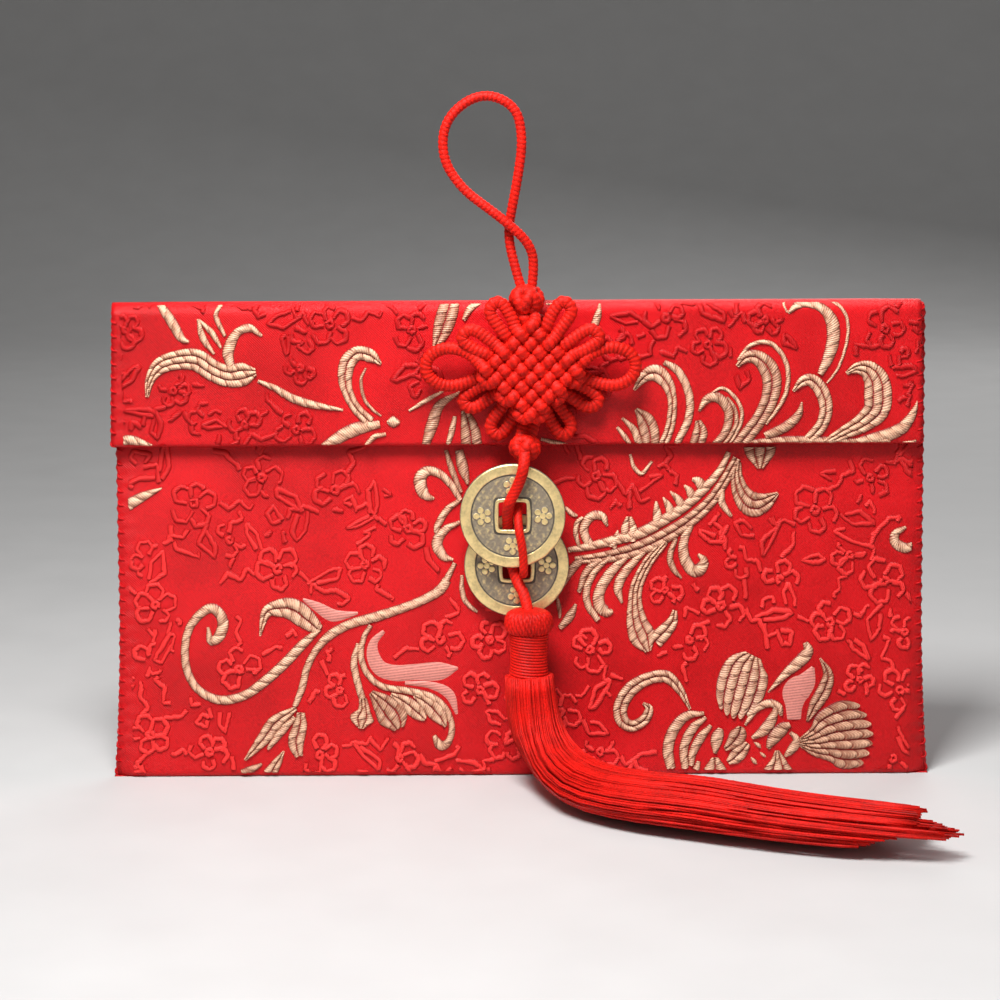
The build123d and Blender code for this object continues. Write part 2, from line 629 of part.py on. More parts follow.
winding = []
for quarter in range(4 * BINDING_TURNS):
    here, there = quarter / 4, (quarter + 1) / 4
    start_dir, end_dir = winding_direction(here), winding_direction(there)
    winding += biarc(winding_point(here), start_dir, winding_point(there), end_dir)
binding_path = Wire(winding)
write("tassel_binding", tube(binding_path, BINDING_THREAD))


def least_gap(path, turns, samples):
    """Least distance between points of a winding that lie half a turn or more apart, less the thread."""
    count = turns * samples
    places = [path.position_at(step / count) for step in range(count + 1)]
    apart = samples // 2
    return min((b - a).length for i, a in enumerate(places) for b in places[i + apart:]) - BINDING_THREAD


binding_gap = least_gap(binding_path, BINDING_TURNS, GAP_SAMPLES)
print(f"tassel_binding: {BINDING_TURNS} turns, least gap to itself {binding_gap:.3f}")

# Skirt: threads that hang, bend at the floor and lie to the right
skirt_stations = []
for reach, forward, height, width, thickness in SKIRT_SHARES:
    centre = (TASSEL_X + SKIRT_REACH * reach, TASSEL_Y - SKIRT_FORWARD * forward, neck_low * height)
    skirt_stations.append((centre, SKIRT_HALF_WIDTH * width, SKIRT_HALF_WIDTH * thickness))


def skirt_section(index):
    """Oval across the skirt at one station, level from side to side."""
    centre, half_width, half_height = skirt_stations[index]
    before = Vector(*skirt_stations[max(index - 1, 0)][0])
    after = Vector(*skirt_stations[min(index + 1, len(skirt_stations) - 1)][0])
    onward = (after - before).normalized() if index else Vector(0, 0, -1)
    level = Vector(after.Y - before.Y, before.X - after.X, 0).normalized()
    return Plane(centre, x_dir=level, z_dir=onward) * Ellipse(half_width, half_height)


write("tassel_skirt", loft([skirt_section(i) for i in range(len(skirt_stations))], ruled=True))
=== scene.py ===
"""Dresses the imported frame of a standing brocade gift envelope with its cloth, motifs, knot, coins and tassel.

Lengths are millimetres in the frame of the CAD until a mesh is made: +Z up, front towards -Y.
Places named after the photograph are its pixels, counted from the top left of 1000 by 1000.
"""

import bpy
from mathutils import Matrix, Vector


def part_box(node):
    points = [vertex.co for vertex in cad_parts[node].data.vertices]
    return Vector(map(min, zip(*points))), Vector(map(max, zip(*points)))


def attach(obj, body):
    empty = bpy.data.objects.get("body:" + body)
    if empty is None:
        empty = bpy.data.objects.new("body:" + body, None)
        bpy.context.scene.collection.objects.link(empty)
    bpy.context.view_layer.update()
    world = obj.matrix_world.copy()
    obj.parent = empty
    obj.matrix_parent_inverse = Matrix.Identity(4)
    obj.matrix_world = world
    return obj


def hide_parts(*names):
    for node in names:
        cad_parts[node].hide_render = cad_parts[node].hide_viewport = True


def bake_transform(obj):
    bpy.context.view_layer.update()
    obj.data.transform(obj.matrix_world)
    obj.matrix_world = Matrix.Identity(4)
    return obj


bl_info = {
    "name": "Brocade gift envelope",
    "version": (1, 0, 0),
    "blender": (4, 5, 0),
    "location": "View3D > Sidebar > Envelope",
    "description": "Dresses a brocade gift envelope with its woven motifs, knot, coins and tassel",
    "category": "Object",
}

from math import cos, pi, radians, sin, sqrt

import bpy
import numpy as np
from mathutils import Matrix

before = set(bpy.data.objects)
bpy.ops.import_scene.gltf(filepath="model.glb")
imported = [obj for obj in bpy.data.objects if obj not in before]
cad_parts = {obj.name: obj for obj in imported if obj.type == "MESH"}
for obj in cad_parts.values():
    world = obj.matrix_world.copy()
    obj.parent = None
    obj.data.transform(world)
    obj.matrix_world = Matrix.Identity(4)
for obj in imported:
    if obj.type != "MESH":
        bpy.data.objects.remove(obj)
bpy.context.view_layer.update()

MM = 0.001
TURN = 2 * pi


def node_box(node):
    """Lowest and highest corner of a CAD node, in millimetres."""
    return [np.array(corner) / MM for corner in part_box(node)]


# Places of the pieces, from the frame
POCKET_LOW, POCKET_HIGH = node_box("pocket_cover")
LINING_LOW, LINING_HIGH = node_box("pocket_lining")
FLAP_LOW, FLAP_HIGH = node_box("flap_cover")
FLAP_LINING_LOW, FLAP_LINING_HIGH = node_box("flap_lining")
FOLD_LOW, FOLD_HIGH = node_box("top_fold")
TACKS_LOW, TACKS_HIGH = node_box("knot_tacks")
HEAD_LOW, HEAD_HIGH = node_box("tassel_head")
NECK_LOW, NECK_HIGH = node_box("tassel_neck")
UPPER_BEAD = np.mean(node_box("upper_bead_knot"), axis=0)
LOWER_BEAD = np.mean(node_box("lower_bead_knot"), axis=0)
UPPER_COIN = np.mean(node_box("upper_coin"), axis=0)
LOWER_COIN = np.mean(node_box("lower_coin"), axis=0)

# Photograph's camera: place, tilt and focal length in pixels
CAMERA_PLACE = np.array((-4.7, -583.0, 166.9))
CAMERA_PITCH = 10.0
CAMERA_ROLL = 0.28
FOCAL_PIXELS = 2500.0
PHOTO_WIDTH = 1000.0
SENSOR_WIDTH = 36.0

# Pocket and flap
MOUTH_FRONT_Y = -4.0
POCKET_SLOPE = (MOUTH_FRONT_Y - POCKET_LOW[1]) / POCKET_HIGH[2]
POCKET_HALF = POCKET_HIGH[0]
BACK_FLAT_HALF = 60.0
SEAM_FLANGE = 4.0
SEAM_THICKNESS = 2.0
CLOTH_THICKNESS = 0.55
BOTTOM_FOLD = 1.2
STITCH_PITCH = 3.2
POCKET_STITCH_LOW = 1.2
FLAP_STITCH_LOW = 79.4
FLAP_STITCH_HIGH = FLAP_HIGH[2] - 1.5
STRIP_MIDDLE_Y = -2.5
FRONT_ROLL = 2.8
BACK_ROLL = 0.95
FLAP_ROLL = 0.95
FLAP_SHIFT = -0.7
STRIP_DROP = 0.9
STRIP_ROWS = 7
HEM_HEIGHT = 4.0
TAB_LENGTH = 7.0
TAB_THINNER = 0.05
FLAP_HALF = 93.3
HEM_SPREAD = 1.2
LINING_OUTER = 1.62
LINING_INNER = 1.88
LINING_FOOT = 0.3
PANEL_ROWS = 24
CLOTH_COLUMNS = 171

# How the cloth gives: spread at its corners, drawn in by stitches, rolled at its edges, slack between them
CORNER_SPREAD = 2.2
CORNER_HEIGHT = 46.0
SEAM_OVERHANG = 0.2
POCKET_DRAW = 0.30
FLAP_DRAW = 0.28
FRONT_PUCKER = 0.32
BACK_PUCKER = 0.25
FLAP_PUCKER = 0.30
POCKET_PUCKER_FADE = 2.4
FLAP_PUCKER_FADE = 2.2
POCKET_EDGE = 4.0
POCKET_EDGE_ROLL = 0.055
FLAP_EDGE = 3.2
FLAP_EDGE_ROLL = 0.06
CALM_EDGE = 6.0
CALM_FOOT = 8.0
CALM_HEM = 5.0
FLAP_SLACK = 0.9
FLAP_SLACK_SHIFT = 40.0
BACK_SLACK = 0.5
LINING_SLACK = 0.04

# Rings of the pocket's mesh: points across its front or back, angles round a side seam, heights of its rings
RING_PLACES = 141
RING_EASE = 0.94
SEAM_ANGLES = (-50, 0, 50)
SEAM_BULGE = 0.7
SEAM_TUCK = 0.2
FOOT_RINGS = (0.0, 0.08, 0.3, 0.7)
RING_START = 1.2
RING_STEP = 0.8
INNER_RINGS = 30
INNER_FOOT = 4.0

# Overcast stitches: radius of the thread, slant up the edge, reach in from the edge and past it
STITCH_RADIUS = 0.22
STITCH_SLANT = 0.9
STITCH_DEPTH = 1.3
STITCH_REACH = 1.5
TACK_RADIUS = 0.35
TACK_INSET = 0.4

# Routes of the free cords
LOOP_DROP = 0.055
LOOP_ROUTE = (
    (2.6, -13.6, 114.2), (3.5, -13.4, 121.0), (2.4, -14.2, 126.0), (-1.2, -15.0, 130.0),
    (-6.5, -14.6, 134.4), (-13.0, -13.8, 139.4), (-17.6, -13.4, 147.0), (-16.6, -13.4, 156.4),
    (-8.6, -13.4, 162.4), (-0.6, -13.4, 159.2), (0.9, -13.4, 151.0), (-0.3, -13.2, 142.0),
    (-1.6, -12.4, 135.0), (-2.6, -11.8, 129.0), (-1.6, -12.4, 122.4), (0.8, -13.6, 114.2),
)
FRONT_STRAND_ROUTE = (
    (1.1, -16.4, 78.4), (0.9, -18.5, 75.2), (-0.2, -17.6, 71.2), (-1.9, -17.2, 67.8),
    (-2.9, -17.2, 65.7), (-3.0, -13.6, 60.5), (-2.5, -13.65, 57.0), (-2.2, -13.65, 53.2),
    (-1.6, -13.65, 49.4), (-0.4, -14.6, 46.6), (0.9, -16.6, 44.9), (1.8, -18.5, 40.4),
)
BACK_STRAND_ROUTE = (
    (1.1, -13.6, 77.4), (0.9, -12.9, 72.4), (0.0, -13.1, 69.0), (-0.6, -13.1, 65.8),
    (-0.5, -17.7, 60.4), (0.3, -17.8, 56.8), (0.7, -17.7, 52.8), (0.7, -17.4, 49.4),
    (0.7, -13.6, 49.6), (0.8, -10.3, 49.2), (1.0, -10.35, 45.4), (1.3, -10.4, 41.6),
    (1.6, -10.5, 37.4), (1.8, -14.4, 36.9),
)

# Knot: six lines each way, with loops at its edges and corners
KNOT_X = (TACKS_LOW[0] + TACKS_HIGH[0]) / 2
KNOT_Y = UPPER_BEAD[1]
KNOT_Z = (TACKS_LOW[2] + TACKS_HIGH[2]) / 2
KNOT_LINES = 6
KNOT_PITCH = 2.85
KNOT_RISE = 1.95
KNOT_LAYER = 2.25
KNOT_TURN_REACH = 2.1
EAR_LENGTH = 9.6
EAR_HALF_WIDTH = 1.9
EAR_FAN = 0.6
CORNER_EAR_LENGTH = 14.4
CORNER_EAR_HALF_HEIGHT = 4.8
CORNER_EAR_SHARES = ((0.30, 0.80), (0.68, 1.0), (0.97, 0.45))
CORNER_EAR_RISE = 0.1
BEAD_GROWTH = 1.16
BEAD_HEIGHT = 1.35
BEAD_CORD = 0.40
BEAD_CORE = 0.74
BEAD_LATITUDE = 0.98
BEAD_WEAVE = 0.16
BEAD_RIDGE = 0.05
STRAND_APART = 0.9
UPPER_TUCK = 2.0
LOWER_TUCK = 1.9
KNOT_CORD_FLATNESS = 0.72
KNOT_CORD_STEP = 0.22
FREE_CORD_STEP = 0.24
COIN_CORD_SPREAD = 1.3

# Coins
COIN_RADIUS = 12.2
COIN_HALF_THICKNESS = 0.6
COIN_FIELD = 0.4
COIN_RIM = 2.5
COIN_HOLE_HALF = 3.2
COIN_HOLE_RIM = 1.0
SQUARENESS = 10.0
RELIEF_HEIGHT = 0.20
COIN_SIDES = 240
FIELD_RINGS = 36
PETAL_REACH = 1.45
PETAL_FALL = (-1.0, -0.55)

# Tassel's skirt: shares of its reach, forward reach, height, half width and half height at each station
SKIRT_REACH = 89.2
SKIRT_FORWARD = 47.2
SKIRT_HALF_WIDTH = 8.6
SKIRT_SHORTER = 6.0
SKIRT_NEARER = 3.6
SKIRT_SPREAD = 0.32
SKIRT_LIFT = 1.9
SKIRT_FULLER = 1.3
SKIRT_CUT = 7.5
SKIRT_TIP = 12.0
SKIRT_STATIONS = 20
SKIRT_SEED = 7
THREAD_RADIUS = 0.33
THREAD_SIDES = 3
THREAD_FLOOR = 0.32
GOLDEN_ANGLE = 2.39996
CORE_SHARE = 0.74
CORE_SIDES = 28
CORE_SHORTER = 4
CORE_FLOOR = 0.2
CORE_SHADE = 0.8
SKIRT_SHARES = (
    (0.0, 0.0, 1.0, 0.63, 0.63), (0.005, 0.010, 0.766, 0.67, 0.67), (0.020, 0.046, 0.544, 0.72, 0.67),
    (0.054, 0.126, 0.368, 0.79, 0.60), (0.103, 0.240, 0.253, 0.86, 0.53), (0.182, 0.393, 0.192, 0.93, 0.49),
    (0.294, 0.541, 0.169, 0.98, 0.44), (0.451, 0.681, 0.153, 1.0, 0.41), (0.652, 0.829, 0.134, 1.0, 0.35),
    (0.832, 0.931, 0.119, 0.98, 0.31), (1.0, 1.0, 0.103, 0.93, 0.27),
)

# Woven gold on the flap: a tone, a width in pixels (or one for each point), the pixels along the middle and, for a
# petal with a rounded end, how far its middle reaches past its sides
CREAM = 1.0
TAN = 0.62
PINK = 0.0
FLAP_GOLD = (
    (CREAM, (5, 10, 11, 9, 3), ((157, 303), (165, 312), (174, 326), (181, 338), (189, 342))),
    (CREAM, (3, 8, 3), ((198, 319), (203, 338), (214, 354))),
    (CREAM, (3, 7, 3), ((199, 320), (212, 333), (221, 348))),
    (CREAM, (5, 5, 6, 4), ((222, 302), (216, 314), (218, 322), (225, 336))),
    (CREAM, (3, 9, 9, 12, 12, 8), ((262, 336), (250, 328), (238, 332), (231, 343), (228, 355), (232, 368))),
    (CREAM, (4, 10, 17, 20, 23, 22, 23, 24, 8),
     ((147, 397), (150, 380), (160, 366), (178, 360), (196, 360), (212, 370), (228, 376), (244, 374), (256, 372))),
    (CREAM, (4, 7, 9, 9, 3), ((258, 381), (275, 388), (290, 397), (310, 404), (343, 410))),
    (CREAM, (6, 11, 4), ((112, 444), (130, 440), (152, 446))),
    (CREAM, (3, 14, 15, 17, 15, 12, 11, 12),
     ((381, 364), (371, 356), (358, 353), (348, 362), (345, 378), (348, 393), (356, 408), (370, 422))),
    (TAN, 4, ((366, 368), (361, 380), (364, 398), (372, 409), (381, 416))),
    (CREAM, (8, 14, 14, 11, 4), ((380, 424), (360, 428), (345, 434), (330, 443), (318, 449))),
    (CREAM, (3, 13, 3), ((387, 422), (393, 422), (400, 422))),
    (CREAM, 6, ((386, 434), (374, 437), (363, 449))),
    (TAN, (20, 22, 18, 6), ((451, 300), (446, 318), (441, 333), (435, 347))),
    (CREAM, 8, ((482, 301), (470, 309), (464, 320))),
    (CREAM, 5, ((477, 301), (490, 301), (502, 302))),
    (CREAM, 7, ((546, 303), (555, 303), (565, 301))),
    (CREAM, (2, 8, 8, 2), ((600, 304), (598, 315), (594, 326), (590, 336))),
    (CREAM, 5, ((443, 391), (425, 401), (409, 411))),
    (TAN, (3, 10, 13, 8), ((460, 392), (440, 405), (432, 425), (425, 447))),
    (CREAM, 7, ((455, 416), (452, 430), (447, 448))),
    (TAN, (8, 20, 22), ((465, 410), (470, 430), (472, 448))),
    (CREAM, 6, ((541, 439), (560, 444), (577, 448))),
    (CREAM, (6, 9, 9, 9, 9, 8, 7),
     ((664, 362), (677, 370), (686, 385), (690, 402), (688, 420), (680, 437), (675, 448))),
    (CREAM, (3, 12, 18, 14, 10, 10, 10, 10),
     ((634, 390), (644, 377), (656, 373), (667, 383), (672, 398), (672, 414), (669, 430), (662, 447))),
    (CREAM, 6, ((617, 427), (625, 437), (632, 448))),
    (CREAM, (3, 8, 8), ((622, 418), (634, 430), (640, 447))),
    (TAN, (4, 18, 20, 16), ((636, 409), (645, 420), (650, 434), (650, 448))),
    (TAN, (6, 16, 14), ((698, 420), (700, 433), (695, 448))),
    (CREAM, 4.5, ((712, 393), (722, 388), (733, 395), (741, 408), (741, 422), (734, 437), (727, 448))),
    (TAN, 5, ((727, 397), (735, 409), (736, 424), (728, 439), (720, 448))),
    (TAN, (3, 9, 11, 11, 10, 9, 8, 7),
     ((699, 411), (706, 400), (716, 397), (725, 404), (729, 415), (726, 430), (719, 440), (711, 448))),
    (CREAM, 5.5, ((738, 360), (748, 347), (760, 342), (772, 344), (783, 356), (788, 372), (786, 392), (778, 408),
                  (766, 424))),
    (TAN, (4, 12, 16, 20, 20, 18, 16, 16, 14),
     ((737, 366), (747, 357), (758, 358), (768, 368), (772, 382), (769, 400), (760, 418), (748, 434), (738, 446))),
    (CREAM, 4, ((787, 312), (784, 303), (790, 298), (810, 297), (830, 300), (843, 310), (848, 325), (846, 345),
                (838, 368), (827, 383))),
    (CREAM, (3, 8, 8, 10, 14, 14, 12, 7),
     ((788, 313), (798, 305), (810, 304), (823, 309), (832, 322), (833, 340), (828, 358), (820, 374))),
    (CREAM, (3, 11, 14, 15, 14, 13, 12, 8),
     ((793, 391), (803, 381), (813, 381), (822, 392), (826, 408), (822, 424), (812, 436), (800, 446))),
    (TAN, (2, 9, 11, 9), ((802, 402), (798, 415), (785, 427), (765, 436))),
    (CREAM, (3, 12, 20, 26, 29, 27, 20, 14, 8),
     ((846, 373), (857, 368), (868, 370), (876, 380), (878, 394), (876, 410), (862, 423), (845, 432), (825, 443))),
    (CREAM, (2, 9, 13, 14, 13, 10), ((918, 401), (912, 415), (903, 427), (890, 434), (870, 440), (850, 445))),
    (TAN, (8, 12, 12, 12, 8), ((735, 446), (780, 442), (820, 442), (860, 444), (890, 440))),
    (CREAM, 4, ((902, 443), (912, 442), (923, 440))),
)

# Woven gold on the pocket
POCKET_GOLD = (
    (CREAM, (13, 10, 2), ((128, 505), (144, 496), (162, 488))),
    (CREAM, (3, 9, 12, 12, 11, 10, 9, 9, 9, 9, 10, 10, 11, 11, 10, 4),
     ((208, 627), (211, 641), (220, 635), (223, 621), (215, 609), (204, 611), (190, 627), (185, 649), (188, 673),
      (200, 691), (221, 700), (245, 695), (265, 681), (285, 663), (304, 643), (320, 629))),
    (CREAM, (2, 11, 18, 23, 22, 12), ((260, 636), (266, 613), (278, 608), (292, 609), (305, 618), (319, 630))),
    (PINK, (3, 11, 14, 9, 3), ((303, 599), (318, 607), (332, 615), (345, 615), (358, 613))),
    (CREAM, (10, 11, 10, 10, 11, 10, 10, 8, 8, 8, 6),
     ((447, 580), (440, 590), (423, 600), (400, 609), (375, 617), (350, 624), (330, 635), (316, 650), (307, 668),
      (302, 688), (295, 706))),
    (CREAM, (5, 15, 14, 3), ((296, 708), (276, 722), (264, 738), (245, 760))),
    (CREAM, (5, 9, 4), ((295, 717), (281, 732), (268, 749))),
    (CREAM, (8, 15, 17, 9), ((301, 712), (300, 726), (296, 742), (299, 756))),
    (CREAM, (2, 9, 15), ((284, 751), (278, 761), (270, 774))),
    (TAN, (3, 8, 8), ((262, 764), (252, 769), (242, 773))),
    (CREAM, (5, 6, 7, 7, 7, 8, 8, 7, 7, 8, 11, 4),
     ((371, 625), (364, 637), (361, 655), (367, 673), (382, 686), (410, 691), (432, 697), (446, 709), (452, 727),
      (448, 742), (440, 745), (434, 735))),
    (CREAM, (4, 8, 8, 8), ((358, 643), (354, 662), (357, 680), (362, 698))),
    (PINK, (4, 9, 14, 17, 18, 18, 20, 3),
     ((384, 631), (374, 642), (373, 655), (380, 668), (395, 673), (415, 672), (440, 671), (458, 668))),
    (PINK, (4, 8, 11, 3), ((405, 683), (430, 685), (449, 694), (457, 714))),
    (CREAM, (8, 13, 25, 6), ((363, 698), (364, 710), (362, 719), (361, 728))),
    (TAN, (6, 22, 32, 14), ((371, 692), (382, 703), (393, 716), (399, 728))),
    (CREAM, (4, 14, 16, 6), ((391, 694), (405, 702), (417, 712), (425, 719))),
    (CREAM, (4, 16, 18, 4), ((414, 695), (427, 703), (438, 714), (446, 726))),
    (CREAM, (3, 12, 14, 11, 9, 8, 6),
     ((434, 499), (424, 494), (420, 480), (427, 471), (440, 474), (452, 486), (460, 500))),
    (TAN, 7, ((446, 450), (452, 470), (461, 492))),
    (TAN, (9, 12, 4), ((459, 450), (463, 468), (468, 484))),
    (CREAM, 8, ((460, 500), (447, 510), (438, 525), (436, 533))),
    (CREAM, (4, 9, 12, 10, 3), ((460, 522), (445, 530), (437, 543), (443, 556), (453, 560))),
    (CREAM, 8, ((455, 563), (446, 580), (436, 592), (420, 602), (395, 612))),
    (CREAM, 6, ((462, 575), (462, 590), (466, 602), (477, 612))),
    (CREAM, (6, 9, 11, 12, 12, 11, 10, 8, 6),
     ((568, 550), (590, 546), (615, 540), (640, 533), (662, 521), (685, 506), (704, 489), (720, 470), (729, 452))),
    (TAN, (8, 13, 16, 15, 13, 11, 9),
     ((575, 560), (610, 556), (645, 546), (680, 527), (706, 506), (722, 485), (737, 458))),
    (CREAM, (3, 9, 10, 10, 10, 10), ((607, 526), (603, 517), (594, 515), (586, 522), (584, 533), (590, 545))),
    (CREAM, 6, ((580, 548), (576, 535), (577, 523), (583, 517))),
    (CREAM, (14, 17, 6), ((629, 541), (629, 528), (629, 516))),
    (CREAM, (10, 8, 2), ((612, 547), (616, 538), (618, 530))),
    (CREAM, (12, 9, 3), ((658, 524), (657, 512), (656, 501))),
    (CREAM, (11, 8, 2), ((672, 515), (668, 505), (663, 497))),
    (CREAM, (11, 8, 2), ((683, 506), (677, 498), (670, 491))),
    (CREAM, (11, 8, 2), ((693, 497), (689, 490), (684, 485))),
    (CREAM, (12, 10, 4), ((703, 487), (698, 481), (692, 479))),
    (TAN, (9, 9, 4), ((582, 558), (570, 572), (560, 590))),
    (TAN, (8, 8, 5), ((600, 559), (586, 572), (579, 592))),
    (CREAM, (5, 7, 8, 8, 7), ((611, 556), (596, 570), (587, 588), (588, 605), (598, 620))),
    (CREAM, (6, 11, 12, 13, 12, 4), ((627, 556), (611, 572), (600, 590), (599, 604), (606, 612), (613, 611))),
    (CREAM, (6, 10, 10, 3), ((645, 550), (625, 572), (618, 588), (622, 603))),
    (CREAM, (8, 11, 13, 15, 22, 27, 8),
     ((665, 541), (648, 562), (637, 585), (635, 603), (637, 622), (643, 638), (648, 651))),
    (CREAM, (18, 16, 12, 5), ((655, 641), (664, 632), (672, 622), (675, 610))),
    (TAN, (5, 7, 7, 3), ((676, 538), (670, 555), (673, 568), (681, 578))),
    (CREAM, (7, 10, 12, 13, 14, 10, 3),
     ((691, 524), (684, 540), (684, 556), (691, 569), (699, 570), (704, 561), (698, 554))),
    (TAN, (7, 13, 20, 26, 20, 3), ((738, 462), (737, 478), (742, 494), (752, 504), (764, 502), (778, 493))),
    (TAN, (34, 28, 8), ((760, 447), (760, 456), (760, 468))),
    (CREAM, (6, 8, 4), ((722, 490), (722, 503), (731, 516))),
    (CREAM, 6, ((565, 507), (571, 513), (577, 516))),
    (CREAM, 5, ((630, 454), (634, 467), (642, 473), (652, 461))),
    (CREAM, (3, 9, 11, 11, 4), ((906, 527), (896, 533), (895, 542), (906, 548), (920, 541))),
    (TAN, (3, 10, 6), ((576, 604), (570, 616), (560, 628))),
    (TAN, 5, ((556, 595), (559, 606), (560, 618))),
    (CREAM, (3, 9, 13, 13, 15, 15, 14, 12, 11, 9, 3),
     ((690, 709), (680, 690), (667, 677), (650, 678), (632, 688), (621, 705), (622, 720), (632, 726), (644, 720),
      (649, 709), (643, 703))),
    (CREAM, (18, 44, 51, 46, 38), ((753, 655), (747, 667), (742, 684), (737, 702), (735, 709)), 9),
    (CREAM, (4, 10, 12, 12, 10), ((704, 713), (686, 716), (673, 731), (668, 750), (671, 768))),
    (CREAM, (4, 10, 10, 8), ((706, 717), (693, 728), (684, 747), (685, 768))),
    (CREAM, (4, 10, 9, 6), ((711, 725), (701, 737), (693, 752), (691, 765))),
    (CREAM, (6, 13, 12, 4), ((721, 728), (718, 735), (716, 743), (715, 753))),
    (TAN, (6, 17, 16, 5), ((741, 726), (739, 733), (734, 741), (725, 749))),
    (CREAM, (6, 14, 15, 6), ((748, 743), (742, 750), (735, 757), (728, 762))),
    (CREAM, (6, 16, 24), ((715, 757), (715, 763), (715, 769))),
    (CREAM, (4, 8), ((699, 761), (696, 769))),
    (CREAM, (3, 8, 9, 8, 4), ((745, 725), (756, 709), (769, 703), (779, 707), (781, 715))),
    (CREAM, (5, 11, 12, 4), ((776, 707), (772, 719), (764, 730), (752, 738))),
    (TAN, (5, 13, 14, 6), ((768, 748), (773, 739), (782, 729), (790, 724))),
    (CREAM, (4, 9, 10, 4), ((790, 732), (797, 740), (792, 749), (785, 756))),
    (CREAM, (4, 16, 30), ((777, 750), (778, 760), (778, 769))),
    (CREAM, (1, 5, 1), ((754, 742), (758, 745), (761, 748))),
    (CREAM, (1, 5, 1), ((751, 757), (754, 761), (757, 764))),
    (CREAM, (1, 4, 1), ((760, 752), (763, 755), (766, 757))),
    (CREAM, (2, 9, 13, 12, 5), ((768, 692), (785, 674), (800, 661), (808, 651), (805, 642))),
    (PINK, (4, 22, 30, 19, 15), ((813, 667), (806, 681), (796, 692), (794, 706), (794, 719))),
    (TAN, (2, 11, 15, 13, 3), ((820, 658), (828, 674), (824, 690), (815, 705), (807, 721))),
    (TAN, (8, 34, 58, 70, 70), ((799, 742), (815, 741), (830, 737), (845, 735), (857, 734)), 16),
)

# Tone-on-tone sprigs: pixel of the blossom, turn in degrees and size in pixels
FLAP_SPRIGS = (
    (330, 324, 200, 36), (296, 430, 20, 34), (173, 391, 130, 30), (412, 330, 80, 34), (666, 318, 330, 36),
    (708, 345, 20, 34), (885, 329, 150, 38), (130, 418, 250, 32), (270, 312, 40, 28), (880, 400, 290, 30),
    (126, 330, 300, 32), (616, 345, 120, 30), (560, 415, 60, 28), (245, 425, 330, 30), (765, 320, 190, 30),
    (300, 368, 100, 28), (210, 330, 250, 26), (905, 372, 80, 26), (205, 420, 200, 28),
)
POCKET_SPRIGS = (
    (194, 503, 215, 40), (278, 569, 20, 38), (239, 669, 120, 36), (408, 529, 200, 36), (440, 639, 300, 38),
    (596, 476, 20, 38), (815, 510, 160, 40), (884, 581, 250, 40), (721, 606, 20, 40), (155, 605, 60, 36),
    (320, 755, 340, 36), (150, 735, 110, 36), (400, 758, 10, 34), (335, 490, 150, 38), (365, 565, 270, 36),
    (830, 622, 190, 36), (900, 690, 100, 38), (893, 758, 200, 34), (590, 650, 60, 36), (560, 712, 170, 36),
    (262, 478, 60, 36), (148, 560, 320, 32), (600, 752, 20, 34), (505, 742, 130, 34), (480, 690, 220, 34),
    (780, 580, 70, 36), (870, 478, 330, 34), (690, 640, 310, 34), (210, 752, 30, 34), (230, 540, 300, 32),
    (490, 640, 30, 32), (850, 555, 320, 32), (660, 480, 140, 30), (905, 632, 20, 30), (340, 690, 20, 30),
    (150, 660, 280, 30), (740, 560, 230, 30), (665, 590, 80, 28), (860, 680, 150, 28), (320, 650, 60, 24),
)

# Lines of the sprigs, in pixels: width, gaps to each other and to the gold, step, waver, fewest points of a line, and
# the rows between which their painted shade turns to painted sheen
LINE_WIDTH = 6.2
LINE_SWELL = (0.65, 1.25)
LINE_KNOTS = 5
SPRIG_GAP = 6.5
GOLD_GAP = 5.0
SPRIG_STEP = 2.3
SPRIG_WAVER = 0.30
SHORTEST_LINE = 5
SPRIG_SEED = 11
SHADE_TO_SHEEN_ROWS = (400, 660)

# Weave of the bands: ribs across, tied down at gaps along, with their sides let into the cloth
STROKE_STEP = 0.30
NARROWEST = 0.12
FULL_RELIEF_WIDTH = 1.4
RIB_WIDTH = 2.3
RIB_COLUMNS = 8
LINE_COLUMNS = 7
RIB_STAGGER = 0.30
BAND_SLANT = 0.40
SEGMENT_LENGTH = 3.0
SEGMENT_GAP = 0.34
TIED_SHARE = 0.75
LET_IN = 0.05
SUNK = 0.28
PINK_RELIEF = 0.4
PRESSED_SHARE = 0.3

# Where the pattern ends: margins at the sides, foot and head of each panel, lowest and highest row on the pocket
POCKET_MARGIN = 2.2
POCKET_PATTERN = (1.0, 86.0)
COVERED_MARGIN = 3.0
BACK_MARGIN = 3.0
BACK_FOOT = 1.5
BACK_HEAD = 8.0
FLAP_MARGIN = 2.9
FLAP_FOOT = 0.35
FLAP_HEAD = 0.5

# Gentle diagonal fold low on the pocket's front: its ends in pixels, then depth, width, offset and fade
CREASE_FROM = (700, 640)
CREASE_TO = (790, 545)
CREASE_DEPTH = 0.55
CREASE_WIDTH = 8.0
CREASE_OFFSET = 2.0
CREASE_FADE = 0.7

# Periods of the threads: twill and hatching in metres, gold and satin in millimetres of their bands
TWILL_PITCH = 0.00058
HATCH_PITCH = 0.00066
GOLD_THREAD = 0.52
SATIN_THREAD = 0.6

# Stage: floor that bends up into a backdrop, in millimetres, and lamps with their place, size and power
FLOOR_HALF = 3000.0
FLOOR_FRONT = -2600.0
BEND_START = 900.0
BEND_RADIUS = 700.0
BACKDROP_HEIGHTS = (1500.0, 2600.0)
LAMPS = (
    ("key", (-0.07, -0.21, 0.41), 0.16, 3.1),
    ("fill", (0.55, -0.80, 0.50), 0.80, 0.7),
    ("back", (0.30, 0.80, 0.60), 0.60, 2.8),
)
LAMP_AIM = (0.0, 0.0, 0.06)
SKY_COLOUR = (1.0, 0.99, 0.98, 1.0)
SKY_STRENGTH = 0.17


def length_property(name, description, default):
    """One editable length, in metres."""
    return bpy.props.FloatProperty(name=name, description=description, default=default, unit="LENGTH")


